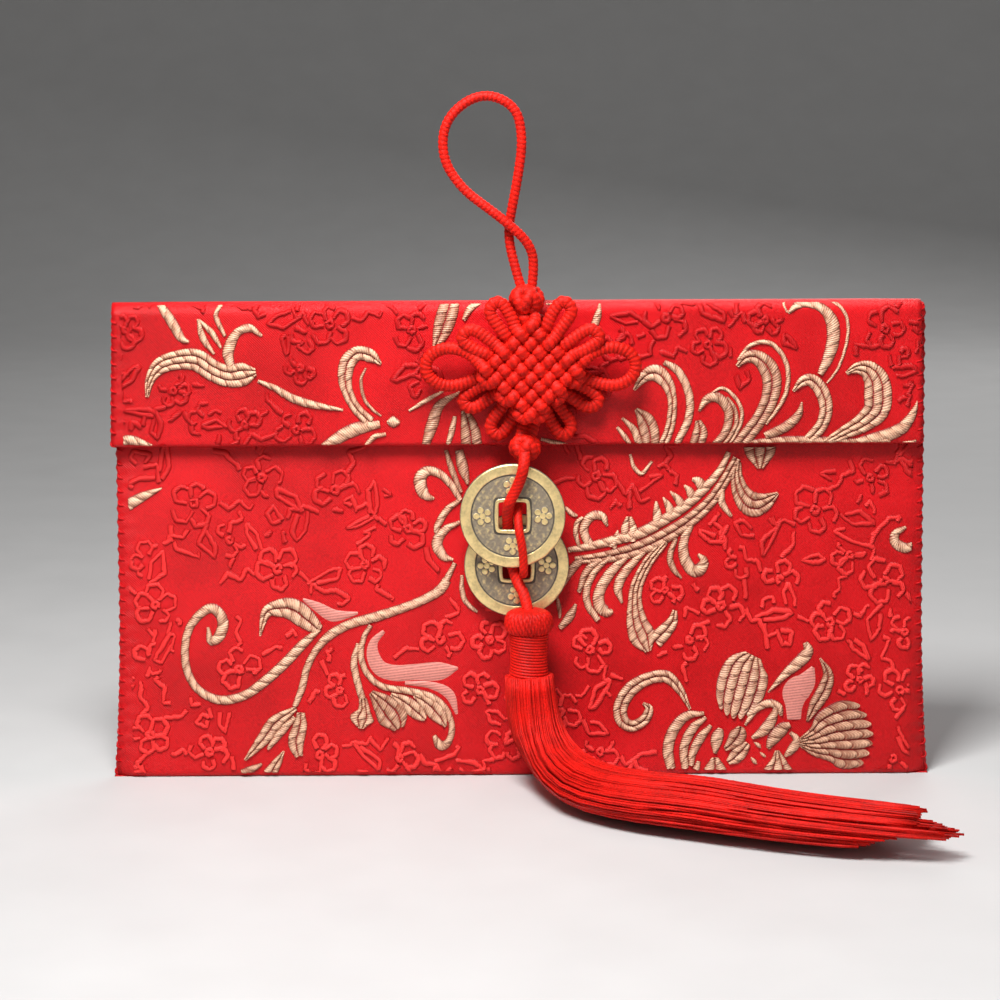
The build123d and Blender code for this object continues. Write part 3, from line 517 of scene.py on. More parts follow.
class EnvelopeSizes(bpy.types.PropertyGroup):
    """Sizes of the envelope's trimmings that a user would change."""

    loop_cord: length_property("Loop cord", "Diameter of the hanging loop's cord", 0.0022)
    coin_cord: length_property("Coin cord", "Diameter of the cords through the coins", 0.0020)
    knot_cord: length_property("Knot cord", "Diameter of the knot's cord", 0.0028)
    cord_ridge: length_property("Cord ridge", "Distance between the braid's ridges", 0.00105)
    gold_relief: length_property("Gold relief", "Height of the woven gold over the cloth", 0.00075)
    sprig_relief: length_property("Sprig relief", "Height of the tone-on-tone lines", 0.00056)
    tassel_strands: bpy.props.IntProperty(
        name="Tassel strands", description="Number of threads in the tassel's skirt", default=430, min=20)


def colour_property(name, description, default):
    """One editable colour, in linear light."""
    return bpy.props.FloatVectorProperty(
        name=name, description=description, default=default, subtype="COLOR", min=0.0, max=1.0)


class EnvelopeColours(bpy.types.PropertyGroup):
    """Colours of the envelope's materials, in linear light."""

    satin: colour_property("Satin", "Ground of the brocade", (0.70, 0.005, 0.009))
    # Dark end of the ground's random mottle, and painted shade on the sunk sides of the tone-on-tone lines.
    satin_mottle_and_shade: colour_property("Deep satin", "Ground of the brocade in its hollows", (0.36, 0.001, 0.002))
    # Painted sheen: the paler copy of the satin on the crowns of the tone-on-tone lines low on the panel.
    satin_sheen: colour_property("Light satin", "Crowns of the tone-on-tone lines", (0.88, 0.036, 0.034))
    cream: colour_property("Pale gold", "Brightest woven gold", (0.88, 0.53, 0.345))
    tan: colour_property("Dull gold", "Darker woven gold", (0.33, 0.115, 0.064))
    # Red of the tie threads between the gold, painted dark as shade in the grooves.
    binding_in_shade: colour_property("Binding", "Red between the gold threads", (0.20, 0.008, 0.006))
    pink: colour_property("Pink", "Hatched petals", (0.74, 0.27, 0.22))
    cord: colour_property("Cord", "Knotting cord", (0.98, 0.014, 0.005))
    tassel: colour_property("Tassel", "Silk of the tassel", (0.94, 0.012, 0.006))
    lining: colour_property("Lining", "Lining cloth", (0.50, 0.006, 0.010))
    brass: colour_property("Brass", "Worn brass of the coins", (1.0, 0.76, 0.35))
    patina: colour_property("Patina", "Dull fields of the coins", (0.25, 0.205, 0.145))
    card: colour_property("Card", "Stiffening board", (0.62, 0.55, 0.44))
    steel: colour_property("Stud", "Plated press stud", (0.66, 0.66, 0.64))
    floor: colour_property("Floor", "Floor of the stage", (0.56, 0.555, 0.55))


class Value:
    """A shader socket in a sum: each operator adds one Math node."""

    def __init__(self, finish, socket):
        self.finish = finish
        self.socket = socket

    def math(self, operation, *others):
        return self.finish.node("ShaderNodeMath", {"operation": operation}, dict(enumerate((self, *others))))

    def __add__(self, other):
        return self.math("ADD", other)

    __radd__ = __add__

    def __sub__(self, other):
        return self.math("SUBTRACT", other)

    def __rsub__(self, other):
        return self.finish.node("ShaderNodeMath", {"operation": "SUBTRACT"}, {0: other, 1: self})

    def __mul__(self, other):
        return self.math("MULTIPLY", other)

    __rmul__ = __mul__

    def wave(self, period):
        """0.5 + 0.5 * sin(2 pi * value / period)."""
        return (self * (TURN / period)).math("SINE") * 0.5 + 0.5

    def between(self, low, high):
        """0 below low, 1 above high, with a soft step between them."""
        inputs = {"Value": self, "From Min": low, "From Max": high}
        return self.finish.node("ShaderNodeMapRange", {"interpolation_type": "SMOOTHSTEP"}, inputs)


class Finish:
    """A procedural material on one Principled shader."""

    def __init__(self, name, roughness=0.5, metallic=0.0, sheen=0.0, sheen_tint=(1.0, 1.0, 1.0), specular=0.5):
        self.material = bpy.data.materials.new(name)
        self.material.use_nodes = True
        self.tree = self.material.node_tree
        self.shader = self.tree.nodes["Principled BSDF"]
        self.shader.inputs["Roughness"].default_value = roughness
        self.shader.inputs["Metallic"].default_value = metallic
        self.shader.inputs["Specular IOR Level"].default_value = specular
        self.shader.inputs["Sheen Weight"].default_value = sheen
        self.shader.inputs["Sheen Tint"].default_value = (*sheen_tint, 1.0)

    def node(self, kind, settings=None, inputs=None, output=0):
        """Add a node with its settings, then the values or links of its sockets."""
        node = self.tree.nodes.new(kind)
        for name, value in (settings or {}).items():
            setattr(node, name, value)
        for socket, value in (inputs or {}).items():
            if isinstance(value, Value):
                self.tree.links.new(value.socket, node.inputs[socket])
            else:
                node.inputs[socket].default_value = value
        return Value(self, node.outputs[output])

    def place(self):
        return self.node("ShaderNodeTexCoord", output="Object")

    def axes(self, vector):
        first = self.node("ShaderNodeSeparateXYZ", inputs={0: vector})
        return [Value(self, output) for output in first.socket.node.outputs]

    def weave(self):
        """Millimetres along and across a woven band."""
        return self.axes(self.node("ShaderNodeUVMap", {"uv_map": "weave"}))[:2]

    def attribute(self, name):
        return self.node("ShaderNodeAttribute", {"attribute_name": name}, output="Fac")

    def noise(self, scale, detail=3.0):
        return self.node("ShaderNodeTexNoise", inputs={"Vector": self.place(), "Scale": scale, "Detail": detail})

    def mix(self, factor, first, second):
        """Colour between two colours."""
        first = first if isinstance(first, Value) else (*first, 1.0)
        second = second if isinstance(second, Value) else (*second, 1.0)
        settings = {"data_type": "RGBA", "clamp_factor": True}
        return self.node("ShaderNodeMix", settings, {0: factor, 6: first, 7: second}, output=2)

    def feed(self, socket, value):
        self.tree.links.new(value.socket, self.shader.inputs[socket])

    def bump(self, height, depth, strength=1.0):
        """Surface relief in metres from a height between 0 and 1."""
        inputs = {"Height": height, "Distance": depth, "Strength": strength}
        self.feed("Normal", self.node("ShaderNodeBump", inputs=inputs))


def shade(colour, factor):
    return tuple(channel * factor for channel in colour)


def satin_finish(name, ground, deep):
    """Silk ground: fine diagonal twill, slubs and slow changes of tone."""
    finish = Finish(name, roughness=0.42, sheen=0.04, sheen_tint=(1.0, 0.25, 0.25), specular=0.26)
    x, y, z = finish.axes(finish.place())
    twill = (x + z + y * 0.5).wave(TWILL_PITCH)
    grain = finish.noise(2600.0)
    tone = finish.noise(55.0)
    mottle = (tone * 0.7 + grain * 0.7 + twill * 0.14).between(0.40, 1.05)
    finish.feed("Base Color", finish.mix(mottle, deep, ground))
    finish.feed("Roughness", grain * 0.2 + 0.30)
    finish.bump(twill * 0.45 + grain, 0.00016, 0.9)
    return finish.material


def gold_finish(colours):
    """Gold weft: threads across each rib, pale on its crown and brown between as painted shade, with the red of its
    ties painted dark as shade.
    """
    finish = Finish("gold_weft", roughness=0.42, sheen=0.05, sheen_tint=(1.0, 0.9, 0.7), specular=0.4)
    along, side = finish.weave()
    tone = finish.attribute("tone")
    valley = finish.attribute("valley")
    thread = (along + side * 0.35).wave(GOLD_THREAD)
    cloud = finish.noise(1100.0)
    patch = finish.noise(420.0, 2.0)
    # Painted shade: brown in the valleys and after each tie, mixed with the stroke's own tone, random clouds and
    # threads.
    pale = tone * 0.75 + cloud * 0.8 + patch * 0.6 + thread * 0.30 - valley * 0.45
    base = finish.mix(pale.between(0.72, 1.72), tuple(colours.tan), tuple(colours.cream))
    # Red of the tie threads in the deepest valleys, painted dark as shade.
    bound = (valley + cloud * 0.4 - thread * 0.15).between(0.62, 0.98)
    finish.feed("Base Color", finish.mix(bound, base, tuple(colours.binding_in_shade)))
    finish.feed("Roughness", thread * 0.14 + 0.36)
    finish.bump(thread * 0.6 + cloud * 0.8, 0.00016, 1.0)
    return finish.material


def pink_finish(colours):
    """Petals hatched in pink over the red ground."""
    finish = Finish("pink_weft", roughness=0.5, sheen=0.05, sheen_tint=(1.0, 0.7, 0.7), specular=0.3)
    x, _, z = finish.axes(finish.place())
    hatch = (z - x * 0.12).wave(HATCH_PITCH)
    grain = finish.noise(2200.0, 2.0)
    thick = (hatch * 0.5 + grain * 0.7).between(0.0, 0.9)
    finish.feed("Base Color", finish.mix(thick, shade(colours.pink, 0.55), tuple(colours.pink)))
    finish.feed("Roughness", grain * 0.1 + 0.45)
    finish.bump(hatch * 0.6 + grain * 0.5, 0.00010, 0.7)
    return finish.material


def sprig_finish(colours):
    """Raised satin lines: a darker copy of the ground at a low tone as painted shade, a paler one at a high tone as
    painted sheen, and painted shade on their sunk sides.
    """
    finish = Finish("satin_lines", roughness=0.5, sheen=0.03, sheen_tint=(1.0, 0.3, 0.3), specular=0.18)
    along, side = finish.weave()
    thread = (along + side).wave(SATIN_THREAD)
    grain = finish.noise(1500.0, 2.0)
    # Painted shade on the low sides of each line.
    sunk = (finish.attribute("valley") + grain * 0.4).between(0.40, 0.95)
    # Painted shade and sheen: the tone set by row picks between a darker and a paler copy of the satin.
    crown = finish.attribute("tone") * 0.8 + grain * 0.35
    base = finish.mix(crown, shade(colours.satin, 0.60), tuple(colours.satin_sheen))
    finish.feed("Base Color", finish.mix(sunk, base, tuple(colours.satin_mottle_and_shade)))
    finish.feed("Roughness", thread * 0.12 + 0.42)
    finish.bump(thread * 0.7 + grain * 0.5, 0.00014, 0.9)
    return finish.material


def cord_finish(name, colour, depth, fuzz):
    """Twisted silk cord: fine filaments, painted shade in the valleys between its ridges (a random tone on each
    tassel thread).
    """
    finish = Finish(name, roughness=0.5, sheen=0.05, sheen_tint=(1.0, 0.2, 0.15), specular=0.16)
    valley = finish.attribute("valley")
    grain = finish.noise(2600.0, 4.0)
    tone = finish.noise(260.0)
    base = finish.mix((tone * 0.6 + grain * 0.8).between(0.40, 1.0), shade(colour, 0.50), tuple(colour))
    # Painted shade: the valleys between the ridges are darkened towards 0.22 of the colour.
    base = finish.mix(valley * depth, base, shade(colour, 0.22))
    finish.feed("Base Color", base)
    finish.feed("Roughness", grain * 0.25 + 0.38)
    finish.bump(grain, fuzz, 0.8)
    return finish.material


def brass_finish(colours):
    """Worn brass: bright on what stands proud, grey in the fields, dark along the foot of each raised form."""
    finish = Finish("worn_brass", roughness=0.4, metallic=0.9, specular=0.5)
    worn = finish.attribute("worn")
    grain = finish.noise(1800.0, 4.0)
    stain = finish.noise(420.0)
    hollow = (worn + grain * 0.3).between(0.10, 0.55)
    field = finish.mix(hollow, shade(colours.patina, 0.25), tuple(colours.patina))
    clean = (stain * 0.7 + grain * 0.5).between(0.25, 0.75)
    rim = finish.mix(clean, shade(colours.brass, 0.60), tuple(colours.brass))
    polish = (worn + grain * 0.40 + stain * 0.35 - 0.30).between(0.40, 0.85)
    finish.feed("Base Color", finish.mix(polish, field, rim))
    finish.feed("Roughness", 0.58 - polish * 0.26)
    finish.feed("Metallic", polish * 0.45 + 0.25)
    finish.bump(grain * 0.8 + stain * 0.6, 0.00016, 0.8)
    return finish.material


def plain_finish(name, colour, grain_scale, roughness, metallic=0.0):
    """Card, plated steel or a floor: an even colour with a fine grain."""
    finish = Finish(name, roughness=roughness, metallic=metallic)
    grain = finish.noise(grain_scale)
    finish.feed("Base Color", finish.mix(grain, shade(colour, 0.9), tuple(colour)))
    finish.feed("Roughness", grain * 0.15 + roughness - 0.07)
    finish.bump(grain, 0.00005, 0.3)
    return finish.material


def material(name):
    """The named finish, made once from the scene's colours."""
    made = bpy.data.materials.get(name)
    if made is not None:
        return made
    colours = bpy.context.scene.envelope_colours
    makers = {
        "silk_brocade": lambda: satin_finish(name, colours.satin, colours.satin_mottle_and_shade),
        "lining_silk": lambda: satin_finish(name, colours.lining, shade(colours.lining, 0.7)),
        "gold_weft": lambda: gold_finish(colours),
        "pink_weft": lambda: pink_finish(colours),
        "satin_lines": lambda: sprig_finish(colours),
        "knot_cord": lambda: cord_finish(name, colours.cord, 0.60, 0.00022),
        "sewing_thread": lambda: cord_finish(name, colours.satin, 0.25, 0.00006),
        "skirt_silk": lambda: cord_finish(name, colours.tassel, 0.60, 0.00016),
        "worn_brass": lambda: brass_finish(colours),
        "stiff_card": lambda: plain_finish(name, colours.card, 900.0, 0.8),
        "plated_steel": lambda: plain_finish(name, colours.steel, 700.0, 0.3, 1.0),
        "pale_floor": lambda: plain_finish(name, colours.floor, 40.0, 0.7),
    }
    return makers[name]()


def grid_quads(rows, columns, close_rows=False, close_columns=False):
    """Quads of a grid of points, row after row, closed on itself where asked."""
    row = np.arange(rows if close_rows else rows - 1)[:, None]
    column = np.arange(columns if close_columns else columns - 1)[None, :]
    after_row = (row + 1) % rows
    after_column = (column + 1) % columns
    corners = (row * columns + column, row * columns + after_column,
               after_row * columns + after_column, after_row * columns + column)
    return np.stack(np.broadcast_arrays(*corners), axis=-1).reshape(-1, 4)


def shape_of(points, quads, triangles=None, **fields):
    """A surface: points, faces and values at each point."""
    points = np.asarray(points, float).reshape(-1, 3)
    triangles = np.zeros((0, 3), int) if triangles is None else triangles
    values = {name: np.asarray(value, float).reshape(len(points), -1) for name, value in fields.items()}
    return {"points": points, "quads": np.asarray(quads), "triangles": np.asarray(triangles), "fields": values}


def joined(shapes):
    """Several surfaces as one."""
    starts = np.cumsum([0] + [len(shape["points"]) for shape in shapes[:-1]])
    pair = list(zip(shapes, starts))
    names = shapes[0]["fields"]
    return {
        "points": np.concatenate([shape["points"] for shape in shapes]),
        "quads": np.concatenate([shape["quads"] + start for shape, start in pair]),
        "triangles": np.concatenate([shape["triangles"] + start for shape, start in pair]),
        "fields": {name: np.concatenate([shape["fields"][name] for shape in shapes]) for name in names},
    }


def turned(shape):
    """The same surface with its faces turned over."""
    return dict(shape, quads=shape["quads"][:, ::-1], triangles=shape["triangles"][:, ::-1])


def outward(shape):
    """A closed surface with its faces outwards, from the sign of its volume."""
    quads = shape["quads"]
    corners = shape["points"][np.concatenate((quads[:, :3], quads[:, [0, 2, 3]], shape["triangles"]))]
    volume = np.einsum("ij,ij->i", corners[:, 0], np.cross(corners[:, 1], corners[:, 2])).sum()
    return turned(shape) if volume < 0 else shape


def tube_shape(rings, ends, valley, end_valley=0.5):
    """Closed tube: rings of points, each end closed by a fan of triangles on a point of its own."""
    count, sides = rings.shape[:2]
    ring = np.arange(sides)
    around = np.roll(ring, -1)
    last = (count - 1) * sides
    fans = np.concatenate((
        np.stack((np.full(sides, count * sides), around, ring), axis=1),
        np.stack((np.full(sides, count * sides + 1), last + ring, last + around), axis=1),
    ))
    points = np.vstack((rings.reshape(-1, 3), *ends))
    quads = grid_quads(count, sides, close_columns=True)
    return outward(shape_of(points, quads, fans, valley=np.append(valley.ravel(), (end_valley, end_valley))))


def make_piece(name, shape, finish, body=None, replaces=()):
    """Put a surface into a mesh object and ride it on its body."""
    faces = (shape["quads"], shape["triangles"])
    corners = np.concatenate([face.ravel() for face in faces])
    sizes = np.concatenate([np.full(len(face), face.shape[1]) for face in faces])
    mesh = bpy.data.meshes.new(name)
    mesh.vertices.add(len(shape["points"]))
    mesh.vertices.foreach_set("co", (shape["points"] * MM).ravel())
    mesh.loops.add(len(corners))
    mesh.loops.foreach_set("vertex_index", corners.astype(np.int32))
    mesh.polygons.add(len(sizes))
    mesh.polygons.foreach_set("loop_start", (np.cumsum(sizes) - sizes).astype(np.int32))
    mesh.update(calc_edges=True)
    mesh.validate()
    for field, value in shape["fields"].items():
        if field == "weave":
            layer = mesh.uv_layers.new(name=field)
            layer.data.foreach_set("uv", value[corners].ravel())
        else:
            layer = mesh.attributes.new(field, "FLOAT", "POINT")
            layer.data.foreach_set("value", value.ravel())
    mesh.shade_smooth()
    mesh.materials.append(material(finish))
    piece = bpy.data.objects.new(name, mesh)
    bpy.context.scene.collection.objects.link(piece)
    if body:
        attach(piece, body)
    if replaces:
        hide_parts(*replaces)
    return piece


def flowing(points, step, axes):
    """Even samples, about a step apart, of the Catmull-Rom curve through points whose first columns are its axes."""
    points = np.asarray(points, float)
    padded = np.vstack((2 * points[0] - points[1], points, 2 * points[-1] - points[-2]))
    t = np.linspace(0, 1, 13)[:-1, None, None]
    a, b, c, d = padded[:-3], padded[1:-2], padded[2:-1], padded[3:]
    curve = 0.5 * (2 * b + (c - a) * t + (2 * a - 5 * b + 4 * c - d) * t ** 2 + (3 * b - a - 3 * c + d) * t ** 3)
    curve = np.vstack((curve.transpose(1, 0, 2).reshape(-1, points.shape[1]), points[-1]))
    return resampled(curve, step, axes)


def run_along(line):
    """Length along a line up to each of its points."""
    return np.concatenate(([0], np.cumsum(np.linalg.norm(np.diff(line, axis=0), axis=1))))


def resampled(curve, step, axes=3):
    """The same line with even spacing along its length."""
    run = run_along(curve[:, :axes])
    count = max(int(np.ceil(run[-1] / step)), 5)
    at = np.linspace(0, run[-1], count + 1)
    return np.stack([np.interp(at, run, column) for column in curve.T], axis=1)


def unit(vectors):
    return vectors / np.linalg.norm(vectors, axis=-1, keepdims=True)


def spline_line(name, route):
    """Points of the smooth NURBS line that has the route's points as its control points."""
    curve = bpy.data.curves.new(name, "CURVE")
    curve.dimensions = "3D"
    curve.resolution_u = 12
    spline = curve.splines.new("NURBS")
    spline.points.add(len(route) - 1)
    weights = np.ones((len(route), 1))
    spline.points.foreach_set("co", np.hstack((np.asarray(route) * MM, weights)).ravel())
    spline.order_u = 3
    spline.use_endpoint_u = True
    holder = bpy.data.objects.new(name, curve)
    mesh = bpy.data.meshes.new_from_object(holder)
    line = np.empty(len(mesh.vertices) * 3)
    mesh.vertices.foreach_get("co", line)
    bpy.data.meshes.remove(mesh)
    bpy.data.objects.remove(holder)
    bpy.data.curves.remove(curve)
    return line.reshape(-1, 3) / MM


def swept_rings(line, radius, reference, ridge, pitch, lay, sides, flatten=1.0):
    """Rings of radius * (1 + ridge * wave) about a line, and wave = cos(2 pi * run / pitch + lay * angle).

    The angle is measured from the reference direction made square to the line; flatten scales that axis.
    """
    along = unit(np.gradient(line, axis=0))
    reference = np.broadcast_to(np.asarray(reference, float), line.shape)
    first = unit(reference - along * np.einsum("ij,ij->i", reference, along)[:, None])
    second = np.cross(along, first)
    angle = np.linspace(0, TURN, sides, endpoint=False)
    wave = np.cos(TURN * run_along(line)[:, None] / pitch + lay * angle[None, :])
    reach = radius * (1 + ridge * wave)
    round_first = (reach * np.cos(angle) * flatten)[..., None] * first[:, None, :]
    round_second = (reach * np.sin(angle))[..., None] * second[:, None, :]
    return line[:, None, :] + round_first + round_second, wave


def cord_shape(line, radius, reference, ridge, pitch, lay, sides=14, flatten=1.0):
    """Ridged cord along a line, capped at both ends."""
    rings, wave = swept_rings(line, radius, reference, ridge, pitch, lay, sides, flatten)
    # Valley marks the grooves between the ridges, which the cord finish paints as shade.
    return tube_shape(rings, (line[0], line[-1]), 0.5 - 0.5 * wave)


def camera_turn():
    """Rotation of the photograph's camera: tilted down from level, then rolled about its own view."""
    tilt = Matrix.Rotation(radians(90 - CAMERA_PITCH), 3, "X")
    return tilt @ Matrix.Rotation(radians(-CAMERA_ROLL), 3, "Z")


def on_panel(pixels, foot, slope):
    """Where rays through pixels meet the panel y = foot + slope * z, as x, z and millimetres in a pixel."""
    pixels = np.asarray(pixels, float)
    half = PHOTO_WIDTH / 2
    rays = np.stack((pixels[:, 0] - half, half - pixels[:, 1], np.full(len(pixels), -FOCAL_PIXELS)), axis=1)
    rays = rays / FOCAL_PIXELS @ np.array(camera_turn()).T
    reach = (foot + slope * CAMERA_PLACE[2] - CAMERA_PLACE[1]) / (rays[:, 1] - slope * rays[:, 2])
    places = CAMERA_PLACE + rays * reach[:, None]
    return places[:, 0], places[:, 2], reach / FOCAL_PIXELS


def on_pocket(pixels):
    return on_panel(pixels, POCKET_LOW[1], POCKET_SLOPE)


def on_flap(pixels):
    return on_panel(pixels, FLAP_LOW[1], 0.0)


def ramp(value, low, high):
    """Smooth step from 0 at low to 1 at high."""
    share = np.clip((value - low) / (high - low), 0, 1)
    return share * share * (3 - 2 * share)


def slack(x, z):
    """Slow unevenness of cloth over card: three crossed sines."""
    return 0.10 * np.sin(x / 17 + z / 23) + 0.07 * np.sin(x / 9.5 - z / 14 + 1) + 0.05 * np.sin(z / 6 + x / 31)


def stitch_pull(z, low):
    """1 at each stitch and 0 midway between two."""
    return 0.5 + 0.5 * np.cos(TURN * (z - low) / STITCH_PITCH)


def puckers(edge, z, low, depth, fade):
    """Cloth drawn in and out along a seam by its stitches, dying away from the edge."""
    return depth * (stitch_pull(z, low) - 0.5) * np.exp(-np.clip(edge, 0, None) / fade)


def quarter_round(past, radius):
    """Depth of a rounded edge, from the distance past the start of its rounding."""
    share = np.clip(past / radius, 0, 1)
    return radius * (1 - np.sqrt(1 - share ** 2))


def edge_roll(edge, width, amount):
    """Cloth that curves back within a width of its edge."""
    return amount * np.clip(width - edge, 0, None) ** 2


def crease_step(x, z):
    """Shallow diagonal fold: a soft ridge beside a line, fading towards the line's ends."""
    ends_x, ends_z, _ = on_pocket((CREASE_FROM, CREASE_TO))
    run = np.array((ends_x[1] - ends_x[0], ends_z[1] - ends_z[0]))
    length = np.linalg.norm(run)
    along = ((x - ends_x[0]) * run[0] + (z - ends_z[0]) * run[1]) / length
    side = ((x - ends_x[0]) * run[1] - (z - ends_z[0]) * run[0]) / length
    fade = np.exp(-((along - length / 2) / (CREASE_FADE * length)) ** 2)
    return CREASE_DEPTH * fade * np.exp(-((side - CREASE_OFFSET) / CREASE_WIDTH) ** 2)


def pocket_half(z):
    """Half width of the pocket: spread at its lower corners, drawn in above them and at each stitch."""
    spread = CORNER_SPREAD * np.clip(1 - z / CORNER_HEIGHT, 0, 1) ** 2
    return POCKET_HALF + SEAM_OVERHANG + spread - POCKET_DRAW * stitch_pull(z, POCKET_STITCH_LOW)


def pocket_front(x, z):
    """Depth of the pocket's front: the leaning plane with slack, a fold, puckers at its sides and a rounded foot."""
    edge = POCKET_HALF - np.abs(x)
    calm = ramp(z, 0, CALM_FOOT)
    soft = (slack(x, z) + crease_step(x, z)) * calm * ramp(edge, 0, CALM_EDGE)
    drawn = puckers(edge, z, POCKET_STITCH_LOW, FRONT_PUCKER, POCKET_PUCKER_FADE) * calm
    rounded = edge_roll(edge, POCKET_EDGE, POCKET_EDGE_ROLL) + quarter_round(BOTTOM_FOLD - z, BOTTOM_FOLD)
    return POCKET_LOW[1] + POCKET_SLOPE * z + soft + drawn + rounded


def pocket_back(x, z):
    """Depth of the pocket's back: flat in the middle, falling to the side seams."""
    edge = POCKET_HALF - np.abs(x)
    seam = POCKET_LOW[1] + POCKET_SLOPE * z + SEAM_THICKNESS
    share = ramp(edge - SEAM_FLANGE, 0, POCKET_HALF - SEAM_FLANGE - BACK_FLAT_HALF)
    drawn = puckers(edge, z, POCKET_STITCH_LOW, BACK_PUCKER, POCKET_PUCKER_FADE)
    padded = (POCKET_HIGH[1] - seam + BACK_SLACK * slack(x, -z)) * share
    return seam + padded - quarter_round(BOTTOM_FOLD - z, BOTTOM_FOLD) - drawn


def pocket_ring(z, inset, half):
    """Level sections of the pocket: front, right seam, back, left seam, set in by an inset.

    Gives the points of each ring as an array of rings by places by 3.
    """
    z = np.asarray(z, float)[:, None]
    share = np.sin(np.linspace(-1, 1, RING_PLACES) * pi / 2 * RING_EASE)[None, :] / sin(pi / 2 * RING_EASE)
    half = half(z) - inset
    x = share * half
    front = pocket_front(x, z) + inset
    back = pocket_back(x, z) - inset
    middle = (front + back) / 2
    lean = (back - front) / 2
    turn = np.radians(SEAM_ANGLES)[None, :]
    bulge = np.minimum(SEAM_BULGE, lean[:, -1:])
    right_x = half + bulge * np.cos(turn) - SEAM_TUCK
    right_y = middle[:, -1:] + lean[:, -1:] * np.sin(turn)
    left_x = -right_x[:, ::-1]
    left_y = middle[:, :1] + lean[:, :1] * np.sin(turn[:, ::-1])
    ring_x = np.concatenate((x, right_x, x[:, ::-1], left_x), axis=1)
    ring_y = np.concatenate((front, right_y, back[:, ::-1], left_y), axis=1)
    return np.stack((ring_x, ring_y, np.broadcast_to(z, ring_x.shape)), axis=-1)


def base_strip(first, columns):
    """Quads across the foot between the front and the back half of the ring that starts at a point."""
    front = np.arange(RING_PLACES - 1)
    back = columns - len(SEAM_ANGLES) - 1 - front
    return first + np.stack((front, front + 1, back - 1, back), axis=1)


def pouch_shape(outer, inner, low, high, thickness, half):
    """Open pouch of one cloth: rings up its outside, over the mouth and down its inside.

    A strip shuts it at the foot, once outside and once inside.
    """
    up = np.concatenate((low + np.array(FOOT_RINGS), np.arange(low + RING_START, high, RING_STEP), (high,)))
    down = np.concatenate((np.linspace(high, low + INNER_FOOT, INNER_RINGS), (low + thickness,)))
    points = np.concatenate((pocket_ring(up, outer, half), pocket_ring(down, inner, half)))
    rows, columns = points.shape[:2]
    quads = grid_quads(rows, columns, close_columns=True)
    strips = base_strip(0, columns)[:, ::-1], base_strip((rows - 1) * columns, columns)
    return outward(shape_of(points, np.concatenate((quads, *strips))))


def strip_half(y):
    """Half width of the cloth over the mouth, widening from the back crease to the flap."""
    share = np.clip((FOLD_HIGH[1] - y) / (FOLD_HIGH[1] - FOLD_LOW[1]), 0, 1)
    return BACK_FLAT_HALF + (FLAP_HIGH[0] - BACK_FLAT_HALF) * share


def strip_drop(y):
    """How far the cloth over the mouth hangs below its front crease: more towards the back."""
    return STRIP_DROP * ramp(y, FLAP_LOW[1] + FRONT_ROLL, POCKET_HIGH[1])


def arc(middle_y, middle_z, radius, start, stop, count):
    """Points of an arc in the y, z plane, with angles in degrees from +y towards +z."""
    angle = np.radians(np.linspace(start, stop, count))
    return np.stack((middle_y + radius * np.cos(angle), middle_z + radius * np.sin(angle)), axis=1)


def upright(y, start, stop, count):
    """Points of an upright line in the y, z plane."""
    return np.stack((np.full(count, y), np.linspace(start, stop, count)), axis=1)


def flap_profile(inset):
    """Side view of the flap cloth: over the strip, round the front crease, down, round the hem and up inside."""
    top = FOLD_HIGH[2] - inset
    face = FLAP_LOW[1] + inset
    roll = FRONT_ROLL - inset
    hem = FLAP_ROLL - inset
    crease_y, crease_z = FLAP_LOW[1] + FRONT_ROLL, FOLD_HIGH[2] - FRONT_ROLL
    hem_y, hem_z = FLAP_LOW[1] + FLAP_ROLL, FLAP_LOW[2] + FLAP_ROLL
    over_y = np.linspace(STRIP_MIDDLE_Y, crease_y, STRIP_ROWS)
    over = np.stack((over_y, top - strip_drop(over_y)), axis=1)[:-1]
    down = upright(face, crease_z, hem_z, 44)[1:-1]
    rise = upright(hem_y + hem, hem_z, hem_z + HEM_HEIGHT, 6)[1:]
    crease = arc(crease_y, crease_z, roll, 90, 180, 9)
    turn = arc(hem_y, hem_z, hem, 180, 360, 11)
    return np.concatenate((over, crease, down, turn, rise))


def flap_softness(x, z):
    """How far the flap's face leaves its plane: slack, puckers at the stitches and sides rolled back."""
    edge = FLAP_HIGH[0] - np.abs(x)
    drawn = puckers(edge, z, FLAP_STITCH_LOW, FLAP_PUCKER, FLAP_PUCKER_FADE)
    calm = ramp(z, FLAP_LOW[2], FLAP_LOW[2] + CALM_HEM) * ramp(FOLD_HIGH[2] - z, 0, CALM_HEM)
    soft = FLAP_SLACK * slack(x + FLAP_SLACK_SHIFT, z) * ramp(edge, 0, CALM_EDGE)
    return (soft + drawn) * calm + edge_roll(edge, FLAP_EDGE, FLAP_EDGE_ROLL)


def flap_front(x, z):
    """Depth of the flap's face, with its rounded top and hem."""
    top = quarter_round(z - (FOLD_HIGH[2] - FRONT_ROLL), FRONT_ROLL)
    hem = quarter_round(FLAP_LOW[2] + FLAP_ROLL - z, FLAP_ROLL)
    return FLAP_LOW[1] + flap_softness(x, z) + top + hem


